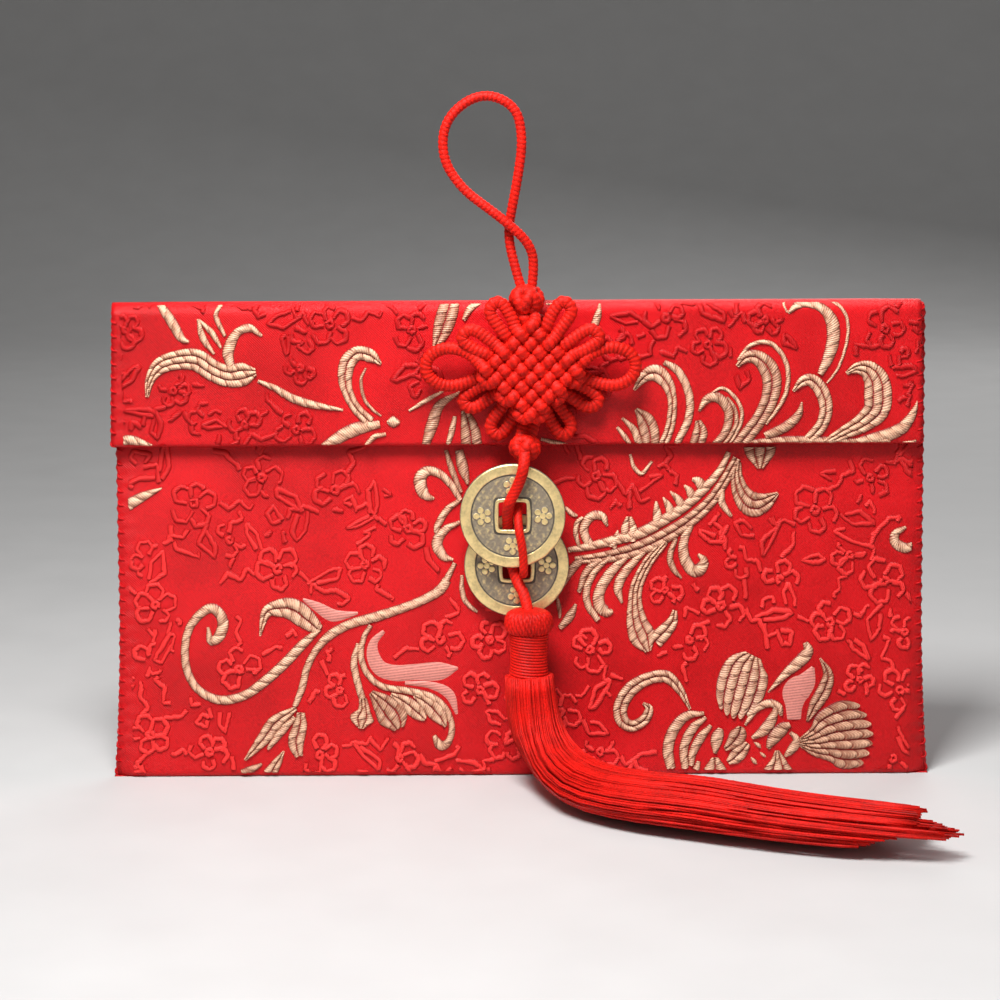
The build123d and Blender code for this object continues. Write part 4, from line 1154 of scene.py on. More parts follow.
def folded_cloth(outer, inner, half, softness, shift=0.0):
    """Cloth of even thickness along a side view: outer and inner profile as one loop, swept across its width."""
    loop = np.concatenate((outer, inner[::-1]))
    widths = np.concatenate((half, half[::-1]))
    share = np.linspace(-1, 1, CLOTH_COLUMNS)
    x = widths[:, None] * share[None, :] + shift
    z = np.broadcast_to(loop[:, 1:], x.shape)
    y = loop[:, :1] + softness(x, z)
    rows, columns = x.shape
    quads = grid_quads(rows, columns, close_rows=True)
    step = np.arange(len(outer) - 1)
    mate = rows - 1 - step
    left = np.stack((step, step + 1, mate - 1, mate), axis=1) * columns
    right = left[:, ::-1] + columns - 1
    return outward(shape_of(np.stack((x, y, z), axis=-1), np.concatenate((quads, left, right))))


def flap_cloth_shape():
    """Flap cloth from the middle of the strip to its hem, with scalloped short sides."""
    outer, inner = flap_profile(0.0), flap_profile(CLOTH_THICKNESS)
    on_strip = np.arange(len(outer)) < STRIP_ROWS - 1
    half = np.where(on_strip, np.minimum(strip_half(outer[:, 0]), flap_half(FLAP_HIGH[2])), flap_half(outer[:, 1]))
    return folded_cloth(outer, inner, half, flap_softness, FLAP_SHIFT)


def flap_half(z):
    """Half width of the flap: a little wider at its hem, drawn in at each stitch."""
    hem = np.clip((FLAP_HIGH[2] - z) / (FLAP_HIGH[2] - FLAP_LOW[2]), 0, 1)
    return FLAP_HALF + HEM_SPREAD * hem - FLAP_DRAW * stitch_pull(z, FLAP_STITCH_LOW) * (z < FLAP_HIGH[2])


def back_tab_profile(inset):
    """Side view of the cloth from the pocket's back, round the back crease, to the middle of the strip."""
    top = FOLD_HIGH[2] - inset
    back = POCKET_HIGH[1] + CLOTH_THICKNESS - inset
    roll = BACK_ROLL - inset
    crease_y = POCKET_HIGH[1] + CLOTH_THICKNESS - BACK_ROLL
    crease_z = FOLD_HIGH[2] - strip_drop(crease_y) - BACK_ROLL
    up = upright(back, POCKET_HIGH[2] - TAB_LENGTH, crease_z, 10)[:-1]
    over_y = np.linspace(crease_y, STRIP_MIDDLE_Y, STRIP_ROWS)[1:]
    over = np.stack((over_y, top - strip_drop(over_y)), axis=1)
    return np.concatenate((up, arc(crease_y, crease_z, roll, 0, 90, 7), over))


def back_tab_shape():
    """Cloth over the back crease, glued to the pocket's back."""
    outer, inner = back_tab_profile(0.0), back_tab_profile(CLOTH_THICKNESS - TAB_THINNER)
    return folded_cloth(outer, inner, strip_half(outer[:, 0]), lambda x, _: np.zeros_like(x))


def panel_shape(low, high):
    """Thin lining panel: a flat cloth with slack, front and back as one loop of rows."""
    outer, inner = (upright(y, low[2], high[2], PANEL_ROWS) for y in (low[1], high[1]))
    return folded_cloth(outer, inner, np.full(PANEL_ROWS, high[0]), lambda x, z: LINING_SLACK * slack(x, z))


def stroke_rows(stroke, to_panel):
    """A stroke's middle line on its panel, as even samples of x, z and width in millimetres, and its end's bow.

    A stroke with one width swells to it in the middle.
    """
    width, pixels = stroke[1:3]
    x, z, scale = to_panel(pixels)
    if np.isscalar(width):
        share = np.linspace(0, 1, len(pixels))
        width = width * (0.35 + 0.65 * np.sin(pi * np.clip(share * 0.9 + 0.05, 0, 1)) ** 0.5)
    bow = stroke[3] * scale[-1] if len(stroke) > 3 else 0.0
    return flowing(np.stack((x, z, np.asarray(width) * scale), axis=1), STROKE_STEP, 2), bow


def ribbon_shape(rows, depth, relief, limits, tone, ribbed, bow=0.0, mirrored=False):
    """Raised woven band on depth(x, z); what falls outside the panel's limits is sunk under the cloth.

    Across its width it has as many round ribs as fit, under a low dome; along it each rib is tied down at gaps
    that are staggered from rib to rib, and its tone rises from gap to gap as painted shade, dark after each tie and
    pale before the next. A bow carries the middle of its end past the sides.
    """
    mirror = np.array((-1, 1) if mirrored else (1, 1))
    spine = rows[:, :2] * mirror
    width = np.clip(rows[:, 2], NARROWEST, None)
    ribs = max(int(round(width.max() / RIB_WIDTH)), 1) if ribbed else 1
    along = unit(np.gradient(spine, axis=0))
    normal = np.stack((-along[:, 1], along[:, 0]), axis=1)
    share = np.linspace(0, ribs, RIB_COLUMNS * ribs + 1 if ribbed else LINE_COLUMNS)
    v = 2 * share / ribs - 1
    rib = np.clip(np.floor(share), 0, ribs - 1)
    round_rib = np.abs(np.cos(pi * (share - rib - 0.5)))
    flat = spine[:, None, :] + normal[:, None, :] * (v[None, :, None] * width[:, None, None] / 2)
    reach = np.linspace(0, 1, len(rows))[:, None] ** 2 * bow * (1 - v ** 2 + 0.5 * (round_rib - 1))
    flat = flat + reach[..., None] * along[-1]
    x = np.clip(flat[..., 0], -limits[0], limits[0])
    z = np.clip(flat[..., 1], limits[1], limits[2])
    run = run_along(spine)
    stagger = (run[:, None] / SEGMENT_LENGTH + RIB_STAGGER * rib[None, :] + BAND_SLANT * v[None, :]) % 1.0
    tied = np.clip(1 - np.minimum(stagger, 1 - stagger) * SEGMENT_LENGTH / SEGMENT_GAP, 0, 1) * ribbed
    rise = (round_rib ** 0.6 * (0.7 + 0.3 * (1 - v ** 2)))[None, :] * (1 - TIED_SHARE * tied)
    height = relief * ramp(width, 0.0, FULL_RELIEF_WIDTH)[:, None] * rise - LET_IN
    inside = (x == flat[..., 0]) & (z == flat[..., 1])
    height = np.where(inside, height, -SUNK)
    side = 1 if mirrored else -1
    points = np.stack((x, depth(x, z) + side * height, z), axis=-1)
    weave = np.stack(np.broadcast_arrays(run[:, None], v[None, :] * width[:, None] / 2), axis=-1)
    # Painted shade: on a ribbed band the tone starts dark after each tie and grows paler to the next; valley marks
    # the low sides and tie gaps, which the finishes paint darker.
    shaded = tone * (0.35 + 0.9 * stagger) if ribbed else np.full(x.shape, tone)
    shape = shape_of(points, grid_quads(len(spine), len(v)), weave=weave, tone=shaded, valley=1 - rise)
    return shape if mirrored else turned(shape)


def gold_shape(strokes, to_panel, depth, limits, pink=False, mirrored=False, pressed=1.0):
    """All gold, or all pink, strokes of a panel, pressed down to a share of their relief."""
    relief = bpy.context.scene.envelope_sizes.gold_relief / MM * pressed * (PINK_RELIEF if pink else 1)
    ribbons = []
    for stroke in strokes:
        if (stroke[0] == PINK) == pink:
            rows, bow = stroke_rows(stroke, to_panel)
            ribbons.append(ribbon_shape(rows, depth, relief, limits, stroke[0], not pink, bow, mirrored))
    return joined(ribbons)


def sprig_lines(rng):
    """Angular lines of one sprig, in blossom widths: five petals, a heart, zigzag twigs, long leaves and a bud."""
    lines = []
    for petal in range(5):
        out = TURN * petal / 5 + rng.normal(0, 0.12)
        reach, size = 0.36 * rng.uniform(0.85, 1.15), 0.22 * rng.uniform(0.8, 1.2)
        angle = out + np.radians((-150, -75, -15, 50, 110, 165))[:rng.integers(4, 7)] + rng.normal(0, 0.16)
        middle = np.array((reach * cos(out), reach * sin(out)))
        lines.append(middle + size * np.stack((np.cos(angle), np.sin(angle)), axis=1))
    lines.append(0.11 * np.array(((1, 0), (0, 1), (-1, 0), (0, -1), (0.8, -0.2))))
    twigs = (
        ((0.60, -0.12), (0.86, 0.06), (1.02, -0.08), (1.30, 0.22), (1.56, 0.06)),
        ((0.98, 0.0), (1.04, 0.34), (1.38, 0.86), (1.46, 0.62), (1.14, 0.10)),
        ((0.90, 0.0), (1.20, -0.42), (1.62, -0.62), (1.52, -0.36), (1.10, -0.08)),
        ((1.56, 0.06), (1.66, 0.34), (1.96, 0.30), (1.92, 0.02), (1.70, 0.0)),
        ((-0.52, 0.36), (-0.74, 0.34), (-0.88, 0.66), (-1.20, 0.60), (-1.26, 0.84)),
        ((-0.60, -0.30), (-0.78, -0.66), (-1.24, -0.84), (-1.08, -0.54), (-0.70, -0.32)),
    )
    return lines + [np.array(twig) + rng.normal(0, 0.06, (5, 2)) for twig in twigs]


def gold_places(strokes):
    """Pixels along every gold stroke, with half its width there."""
    places = []
    for stroke in strokes:
        pixels = np.asarray(stroke[2], float)
        width = np.broadcast_to(np.asarray(stroke[1], float), len(pixels))
        places.append(flowing(np.column_stack((pixels, width / 2)), 3.0, 2))
    return np.vstack(places)


def free_run(pixels, taken, gap):
    """The longest run of a line's pixels that keeps a gap from places already taken (x, y, half width)."""
    apart = np.linalg.norm(pixels[:, None, :] - taken[None, :, :2], axis=2) - taken[None, :, 2]
    clear = np.concatenate(([False], apart.min(axis=1) > gap, [False]))
    edges = np.flatnonzero(np.diff(clear.astype(int)))
    starts, stops = edges[::2], edges[1::2]
    if len(starts) == 0:
        return pixels[:0]
    best = np.argmax(stops - starts)
    return pixels[starts[best]:stops[best]]


def sprig_shape(sprigs, gold, to_panel, depth, limits, mirrored=False, pressed=1.0):
    """Every tone-on-tone sprig of a panel, each turned and sized at its pixel, clear of the gold and of each other.

    The lines are painted darker high on the panel, as shade, and paler lower down, as sheen, and are pressed down to
    a share of their relief.
    """
    relief = bpy.context.scene.envelope_sizes.sprig_relief / MM * pressed
    rng = np.random.default_rng(SPRIG_SEED)
    gold_taken, taken = gold_places(gold), np.array(((-1e3, -1e3, 0.0),))
    ribbons = []
    for px, py, degrees, size in sprigs:
        spin = radians(degrees)
        turn = np.array(((cos(spin), -sin(spin)), (sin(spin), cos(spin))))
        drawn = []
        for line in sprig_lines(rng):
            pixels = resampled(np.array((px, py)) + line @ turn.T * size, SPRIG_STEP, 2)
            pixels = pixels + rng.normal(0, SPRIG_WAVER, pixels.shape)
            pixels = free_run(pixels, gold_taken, GOLD_GAP)
            pixels = free_run(pixels, taken, SPRIG_GAP) if len(pixels) else pixels
            if len(pixels) < SHORTEST_LINE:
                continue
            x, z, scale = to_panel(pixels)
            swell = rng.uniform(*LINE_SWELL, LINE_KNOTS)
            knots = np.linspace(0, LINE_KNOTS - 1, len(pixels))
            widths = LINE_WIDTH * np.interp(knots, np.arange(LINE_KNOTS), swell)
            rows = np.stack((x, z, widths * scale), axis=1)
            # Tone by row: painted shade high on the panel, turning to painted sheen lower down.
            ribbons.append(ribbon_shape(rows, depth, relief, limits, ramp(py, *SHADE_TO_SHEEN_ROWS), False, 0.0, mirrored))
            drawn.append(pixels)
        if drawn:
            drawn = np.vstack(drawn)
            taken = np.vstack((taken, np.column_stack((drawn, np.zeros(len(drawn))))))
    return joined(ribbons)


def stitch_shape(side, half, low, high, front, back, shift=0.0):
    """Overcast thread: each stitch goes from the front round the edge to the back, a little slanted."""
    stitches = []
    t = np.linspace(-1, 1, 9)
    for place in np.arange(low, high - 0.5, STITCH_PITCH):
        z = place + STITCH_SLANT * t
        edge = half(z)
        x = edge - STITCH_DEPTH + STITCH_REACH * np.sqrt(np.clip(1 - t ** 2, 0, 1)) ** 0.7
        near, far = front(edge - 1, z), back(edge - 1, z)
        y = (near + far) / 2 + ((far - near) / 2 + 0.05) * np.sin(t * pi / 2)
        line = np.stack((side * x + shift, y, z), axis=1)
        stitches.append(cord_shape(line, STITCH_RADIUS, (0, 0, 1), 0.12, 0.5, 2, sides=6))
    return joined(stitches)


def side_stitches(nodes, body, *edge):
    """Stitches of both sides of the pocket or of the flap."""
    for name, side in (("left", -1), ("right", 1)):
        node = nodes + "_" + name
        make_piece(node + "_thread", stitch_shape(side, *edge), "sewing_thread", body, (node,))


KNOT_REACH = KNOT_PITCH * (KNOT_LINES - 1) / 2
ROOT_REACH = KNOT_REACH + KNOT_TURN_REACH
DIAGONAL = sqrt(2)


def knot_point(along, across, rise):
    """Point of the knot from its two diagonal coordinates and its height towards the front."""
    return (KNOT_X + (along + across) / DIAGONAL, KNOT_Y - rise, KNOT_Z + (across - along) / DIAGONAL)


def line_place(index):
    return (index - (KNOT_LINES - 1) / 2) * KNOT_PITCH


def serpentine(lines, side, ear_side, layer, over):
    """Six knot lines in turn, over and under those they cross, with ears on one side, tight turns on the other."""
    route = []
    for place, line in enumerate(lines):
        order = range(KNOT_LINES) if side < 0 else reversed(range(KNOT_LINES))
        route += [(line_place(step), line_place(line), layer + over * (-1) ** (line + step) * KNOT_RISE)
                  for step in order]
        side = -side
        if place + 1 == len(lines):
            continue
        start, stop = line_place(line), line_place(lines[place + 1])
        root = side * ROOT_REACH
        route.append((root, start, layer))
        if side == ear_side:
            middle = (start + stop) / 2
            half = EAR_HALF_WIDTH if start > middle else -EAR_HALF_WIDTH
            near, far = (side * (KNOT_REACH + EAR_LENGTH * share) for share in (0.5, 1.0))
            halfway, tip = middle * (1 + EAR_FAN / 2), middle * (1 + EAR_FAN)
            route += [(near, halfway + half, layer), (far, tip + half, layer),
                      (far, tip - half, layer), (near, halfway - half, layer)]
        route.append((root, stop, layer))
    return route


def along_points(route):
    return [knot_point(run, fixed, rise) for run, fixed, rise in route]


def across_points(route):
    return [knot_point(fixed, run, rise) for run, fixed, rise in route]


def corner_ear(side):
    """Large loop at the left or right corner, from the front layer round to the back layer."""
    upper = [(KNOT_X + side * (KNOT_REACH * DIAGONAL + CORNER_EAR_LENGTH * out), CORNER_EAR_HALF_HEIGHT * up, 1 - out)
             for out, up in CORNER_EAR_SHARES]
    lower = [(x, -z, -share) for x, z, share in reversed(upper)]
    lift = CORNER_EAR_HALF_HEIGHT * CORNER_EAR_RISE
    return [(x, KNOT_Y - KNOT_LAYER * share, KNOT_Z + z + lift) for x, z, share in upper + lower]


def knot_routes():
    """Control points of the knot's left and right strand, from the upper to the lower bead knot."""
    rising = list(range(KNOT_LINES))
    falling = rising[::-1]
    reach, root, front = KNOT_REACH, ROOT_REACH, KNOT_LAYER
    upper_z = UPPER_BEAD[2] - UPPER_TUCK
    lower_z = LOWER_BEAD[2] + LOWER_TUCK
    left = [(UPPER_BEAD[0] - STRAND_APART, KNOT_Y, upper_z), knot_point(-root, reach, front)]
    left += along_points(serpentine(falling, -1, -1, front, 1))
    left += [knot_point(-root, -reach, front), *corner_ear(-1), knot_point(-reach, -root, -front)]
    left += across_points(serpentine(rising, -1, -1, -front, 1))
    left += [knot_point(reach, -root, -front), (LOWER_BEAD[0] - STRAND_APART, KNOT_Y, lower_z)]
    right = [(UPPER_BEAD[0] + STRAND_APART, KNOT_Y, upper_z), knot_point(-reach, root, front)]
    right += across_points(serpentine(rising, 1, 1, front, -1))
    right += [knot_point(reach, root, front), *corner_ear(1), knot_point(root, reach, -front)]
    right += along_points(serpentine(falling, 1, 1, -front, -1))
    right += [knot_point(root, -reach, -front), (LOWER_BEAD[0] + STRAND_APART, KNOT_Y, lower_z)]
    return left, right


def lathe_shape(profile, centre, sides, ridges=None):
    """Turned form about a vertical axis: radius and height from a profile, radius changed by ridges(angle, z).

    Both ends close in a point on the axis.
    """
    profile = np.asarray(profile, float)
    angle = np.linspace(0, TURN, sides, endpoint=False)[None, :]
    radius, z = profile[:, :1], profile[:, 1:]
    wave = np.zeros((len(profile), sides)) if ridges is None else ridges(angle, z)
    reach = radius + wave
    x, y = centre[0] + reach * np.cos(angle), centre[1] + reach * np.sin(angle)
    ends = [(centre[0], centre[1], height) for height in profile[[0, -1], 1]]
    # Grooves between the ridges are marked as valleys, which the finish paints as shade.
    depth = -wave / max(np.abs(wave).max(), 1e-6)
    valley = np.clip(0.5 + 0.5 * depth, 0, 1) * (ridges is not None)
    return tube_shape(np.stack(np.broadcast_arrays(x, y, z), axis=-1), ends, valley)


def bead_shape(centre, radius):
    """Round knot: a cord wound as a three-lead, four-bight turk's head on a ball, over a core of cord."""
    t = np.linspace(0, 3 * TURN, 421)[:-1]
    latitude = BEAD_LATITUDE * np.sin(4 * t / 3)
    thickness = radius * BEAD_CORD
    reach = radius - thickness + BEAD_WEAVE * radius * np.cos(8 * t / 3)
    line = np.stack((reach * np.cos(latitude) * np.cos(t), reach * np.cos(latitude) * np.sin(t),
                     BEAD_HEIGHT * reach * np.sin(latitude)), axis=1) + centre
    line = np.vstack((line, line[:1]))
    rings, wave = swept_rings(line, thickness, unit(line - centre), BEAD_RIDGE, 1.0, 1, 12)
    # Valley marks the grooves of the wound cord, which the finish paints as shade.
    cord = outward(shape_of(rings, grid_quads(*wave.shape, close_columns=True), valley=0.5 - 0.5 * wave))
    height = np.radians(np.linspace(-86, 86, 19))
    core_radius = radius * BEAD_CORE
    core = np.stack((core_radius * np.cos(height), centre[2] + BEAD_HEIGHT * core_radius * np.sin(height)), axis=1)
    return joined((cord, lathe_shape(core, centre, 24)))


def square_reach(angle, half):
    """Distance from the middle of a rounded square to its side."""
    return half / (np.abs(np.cos(angle)) ** SQUARENESS + np.abs(np.sin(angle)) ** SQUARENESS) ** (1 / SQUARENESS)


def coin_relief(x, z):
    """Generic cast ornament: a blossom of five round petals and a heart at each of four places round the hole."""
    relief = np.zeros_like(x)
    place_reach = (COIN_HOLE_HALF + COIN_HOLE_RIM + COIN_RADIUS - COIN_RIM) / 2
    for place in range(4):
        middle = place * pi / 2
        cx, cz = place_reach * cos(middle), place_reach * sin(middle)
        for petal in range(6):
            out = PETAL_REACH if petal < 5 else 0.0
            turn = middle + TURN * petal / 5
            gap = np.hypot(x - cx - out * cos(turn), z - cz - out * sin(turn))
            relief = np.maximum(relief, ramp(-gap, *PETAL_FALL))
    return RELIEF_HEIGHT * relief


def coin_shape(centre):
    """Cast coin: rings from the square hole's rim to the round rim on both faces, worn round at each edge."""
    angle = np.linspace(0, TURN, COIN_SIDES, endpoint=False)[None, :]
    top, field = COIN_HALF_THICKNESS, COIN_FIELD
    inner, outer = COIN_HOLE_HALF + COIN_HOLE_RIM, COIN_RADIUS - COIN_RIM
    hole = np.array(((0.0, top - 0.30), (0.10, top - 0.08), (0.28, top), (0.74, top), (0.92, top - 0.07),
                     (1.04, field)))
    hole_reach = square_reach(angle, COIN_HOLE_HALF) + hole[:, :1]
    share = np.linspace(0, 1, FIELD_RINGS)[1:-1, None]
    field_reach = (square_reach(angle, inner) + 0.10) * (1 - share) + (outer - 0.10) * share
    rim = np.array(((-0.08, field), (0.10, top - 0.07), (0.34, top), (COIN_RIM - 0.55, top),
                    (COIN_RIM - 0.20, top - 0.10), (COIN_RIM, top - 0.34)))
    rim_reach = np.broadcast_to(outer + rim[:, :1], (len(rim), angle.shape[1]))
    reach = np.concatenate((hole_reach, field_reach, rim_reach))
    x, z = reach * np.cos(angle), reach * np.sin(angle)
    height = np.concatenate((hole[:, 1], np.full(len(share), field), rim[:, 1]))[:, None] * np.ones_like(angle)
    cast = 0.02 * (np.sin(3.1 * x + 1.7 * z) + np.sin(2.3 * z - 3.7 * x + 1) + np.sin(5.3 * x) * np.sin(4.9 * z))
    inside = slice(len(hole), len(hole) + len(share))
    raised = coin_relief(x, z)
    height[inside] += np.maximum(raised, cast)[inside]
    front = np.stack((x, -height, z), axis=-1)
    back = np.stack((x, height, z), axis=-1)[::-1]
    points = np.concatenate((front, back)) + centre
    worn = np.clip(0.35 + 0.65 * (height - field) / (top - field), 0, 1)
    foot = np.clip(4 * raised / RELIEF_HEIGHT * (1 - raised / RELIEF_HEIGHT), 0, 1)
    worn[inside] -= 0.45 * foot[inside]
    worn[len(hole) - 1:len(hole) + 1] = worn[-len(rim) - 1:-len(rim) + 1] = 0.0
    quads = grid_quads(len(points), angle.shape[1], close_rows=True, close_columns=True)
    return outward(shape_of(points, quads, worn=np.concatenate((worn, worn[::-1]))))


def tassel_axis():
    return (HEAD_LOW + HEAD_HIGH) / 2


def head_shape():
    """Rolled head of the tassel: a rounded drum with slanting threads over it."""
    low, high = HEAD_LOW[2], HEAD_HIGH[2]
    radius = (HEAD_HIGH[0] - HEAD_LOW[0]) / 2
    turn = np.radians(np.linspace(-80, 84, 40))
    z = (low + high) / 2 + (high - low) / 2 * np.sin(turn)
    reach = radius * np.clip(np.cos(turn), 0, 1) ** 0.42

    def threads(angle, z):
        slanted = 0.16 * np.cos(30 * angle + 2.6 * z) + 0.10 * np.cos(47 * angle - 1.1 * z)
        return slanted * ramp(high - z, 0, 0.8)

    return lathe_shape(np.stack((reach, z), axis=1), tassel_axis(), 204, threads)


def binding_shape():
    """Wound neck: thread laid in close slanting turns from the head to the skirt, slightly waisted."""
    low, high = NECK_LOW[2] - 0.6, NECK_HIGH[2] + 0.5
    z = np.linspace(low, high, 150)
    share = (z - low) / (high - low)
    reach = (NECK_HIGH[0] - NECK_LOW[0]) / 2 + 0.45 - 0.35 * np.sin(pi * share)

    def turns(angle, z):
        return 0.22 * np.abs(np.cos(pi * z / 0.70 + 1.5 * angle)) - 0.11

    return lathe_shape(np.stack((reach, z), axis=1), tassel_axis(), 72, turns)


def skirt_frame(count):
    """Middle line of the skirt with its half width, half height and level, upward and forward directions."""
    x0, y0, _ = tassel_axis()
    shares = np.array(SKIRT_SHARES)
    top = NECK_LOW[2]
    rows = np.stack((x0 + SKIRT_REACH * shares[:, 0], y0 - SKIRT_FORWARD * shares[:, 1], top * shares[:, 2],
                     SKIRT_HALF_WIDTH * shares[:, 3], SKIRT_HALF_WIDTH * shares[:, 4]), axis=1)
    spread = ramp(shares[:, 1], 0.05, 0.55)
    rows[:, 0] -= SKIRT_SHORTER * shares[:, 0]
    rows[:, 1] -= SKIRT_NEARER * spread
    rows[:, 3] *= 1 + SKIRT_SPREAD * spread
    lying = ramp(shares[:, 0], 0.08, 0.45)
    rows[:, 2] += SKIRT_LIFT * lying
    rows[:, 4] += SKIRT_FULLER * lying
    rows = flowing(rows, 0.8, 3)
    picks = np.linspace(0, 1, count) ** 1.15 * (len(rows) - 1)
    rows = np.stack([np.interp(picks, np.arange(len(rows)), column) for column in rows.T], axis=1)
    along = unit(np.gradient(rows[:, :3], axis=0))
    heading = np.array((SKIRT_REACH, -SKIRT_FORWARD, 0)) / np.hypot(SKIRT_REACH, SKIRT_FORWARD)
    level = np.cross(heading, (0, 0, 1))
    level = unit(level - along * (along @ level)[:, None])
    upward = np.cross(level, along)
    return rows[:, :3], rows[:, 3], rows[:, 4], level, upward, along


def skirt_shape():
    """Threads of the tassel: each keeps its place in the skirt's section, wavers a little and ends unevenly.

    The places follow a sunflower spiral over the outer part of a disc, with a plain core under them.
    """
    count, stations, sides = bpy.context.scene.envelope_sizes.tassel_strands, SKIRT_STATIONS, THREAD_SIDES
    rng = np.random.default_rng(SKIRT_SEED)
    middle, wide, tall, level, upward, along = skirt_frame(stations)
    index = np.arange(count)
    radius = np.sqrt(0.30 + 0.70 * (index + 0.5) / count)[:, None]
    angle = (index * GOLDEN_ANGLE)[:, None]
    share = np.linspace(0, 1, stations)[None, :]
    drift = rng.normal(0, 0.11, (count, 1)) * share ** 2 + 0.035 * np.sin(
        TURN * (share * rng.uniform(1.0, 2.6, (count, 1)) + rng.random((count, 1))))
    upper = radius * np.sin(angle)
    across = (radius * np.cos(angle) + drift) * wide
    height = (upper + 0.5 * drift) * tall
    tip = np.exp(-((upper - 0.42) / 0.2) ** 2) * ramp(np.cos(angle), -0.3, 0.3)
    longer = rng.normal(0, 0.9, (count, 1)) + SKIRT_CUT * (upper - 1) + SKIRT_TIP * tip
    line = (middle[None] + across[..., None] * level[None] + height[..., None] * upward[None]
            + (longer * share ** 6)[..., None] * along[None])
    thick = THREAD_RADIUS * rng.uniform(0.8, 1.15, (count, 1, 1)) * np.ones((1, stations, 1))
    thick[:, -1] *= 0.8
    line[..., 2] = np.maximum(line[..., 2], THREAD_FLOOR)
    turn = np.linspace(0, TURN, sides, endpoint=False)[None, None, :] + rng.random((count, 1, 1)) * TURN
    points = (line[:, :, None, :] + (thick * np.cos(turn))[..., None] * level[None, :, None, :]
              + (thick * np.sin(turn))[..., None] * upward[None, :, None, :])
    starts = index[:, None, None] * stations * sides
    quads = (grid_quads(stations, sides, close_columns=True)[None] + starts).reshape(-1, 4)
    ends = np.array(((0, 2, 1), (stations * sides - 3, stations * sides - 2, stations * sides - 1)))
    triangles = (ends[None] + starts).reshape(-1, 3)
    tone = np.broadcast_to(rng.uniform(0, 0.6, (count, 1, 1)), points.shape[:3])
    threads = outward(shape_of(points, quads, triangles, valley=tone))
    turn = np.linspace(0, TURN, CORE_SIDES, endpoint=False)[None]
    core = (middle[:, None] + (CORE_SHARE * np.cos(turn) * wide[:, None])[..., None] * level[:, None]
            + (CORE_SHARE * np.sin(turn) * tall[:, None])[..., None] * upward[:, None])[:-CORE_SHORTER]
    core[..., 2] = np.maximum(core[..., 2], CORE_FLOOR)
    core_ends = middle[[0, -CORE_SHORTER - 1]]
    return joined((threads, tube_shape(core, core_ends, np.full(core.shape[:2], CORE_SHADE), CORE_SHADE)))


def tack_shape():
    """Four short threads between the knot and the flap."""
    x = (TACKS_LOW[0] + TACK_INSET, TACKS_HIGH[0] - TACK_INSET)
    z = (TACKS_LOW[2] + TACK_INSET, TACKS_HIGH[2] - TACK_INSET)
    middle_x, middle_z = sum(x) / 2, sum(z) / 2
    y = np.linspace(TACKS_LOW[1], TACKS_HIGH[1], 9)
    tacks = []
    for place_x, place_z in ((x[0], middle_z), (x[1], middle_z), (middle_x, z[0]), (middle_x, z[1])):
        line = np.stack(np.broadcast_arrays(place_x, y, place_z), axis=1)
        tacks.append(cord_shape(line, TACK_RADIUS, (1, 0, 0), 0.12, 0.6, 2, sides=8))
    return joined(tacks)


def loop_route():
    """The loop's route with its height drawn in towards the round knot, as it hangs in the photograph."""
    route = np.array(LOOP_ROUTE)
    route[:, 2] -= LOOP_DROP * (route[:, 2] - route[0, 2])
    return route


def free_cord(name, route, diameter, body, reference, ridge, lay_turns, spread=1.0):
    """A free cord on the NURBS line of its route, ridged as a braid."""
    line = resampled(spline_line(name, route), FREE_CORD_STEP)
    sizes = bpy.context.scene.envelope_sizes
    shape = cord_shape(line, diameter / 2 / MM, reference, ridge, sizes.cord_ridge / MM, lay_turns, flatten=spread)
    cord = make_piece(name + "_cord", shape, "knot_cord", body, (name,))


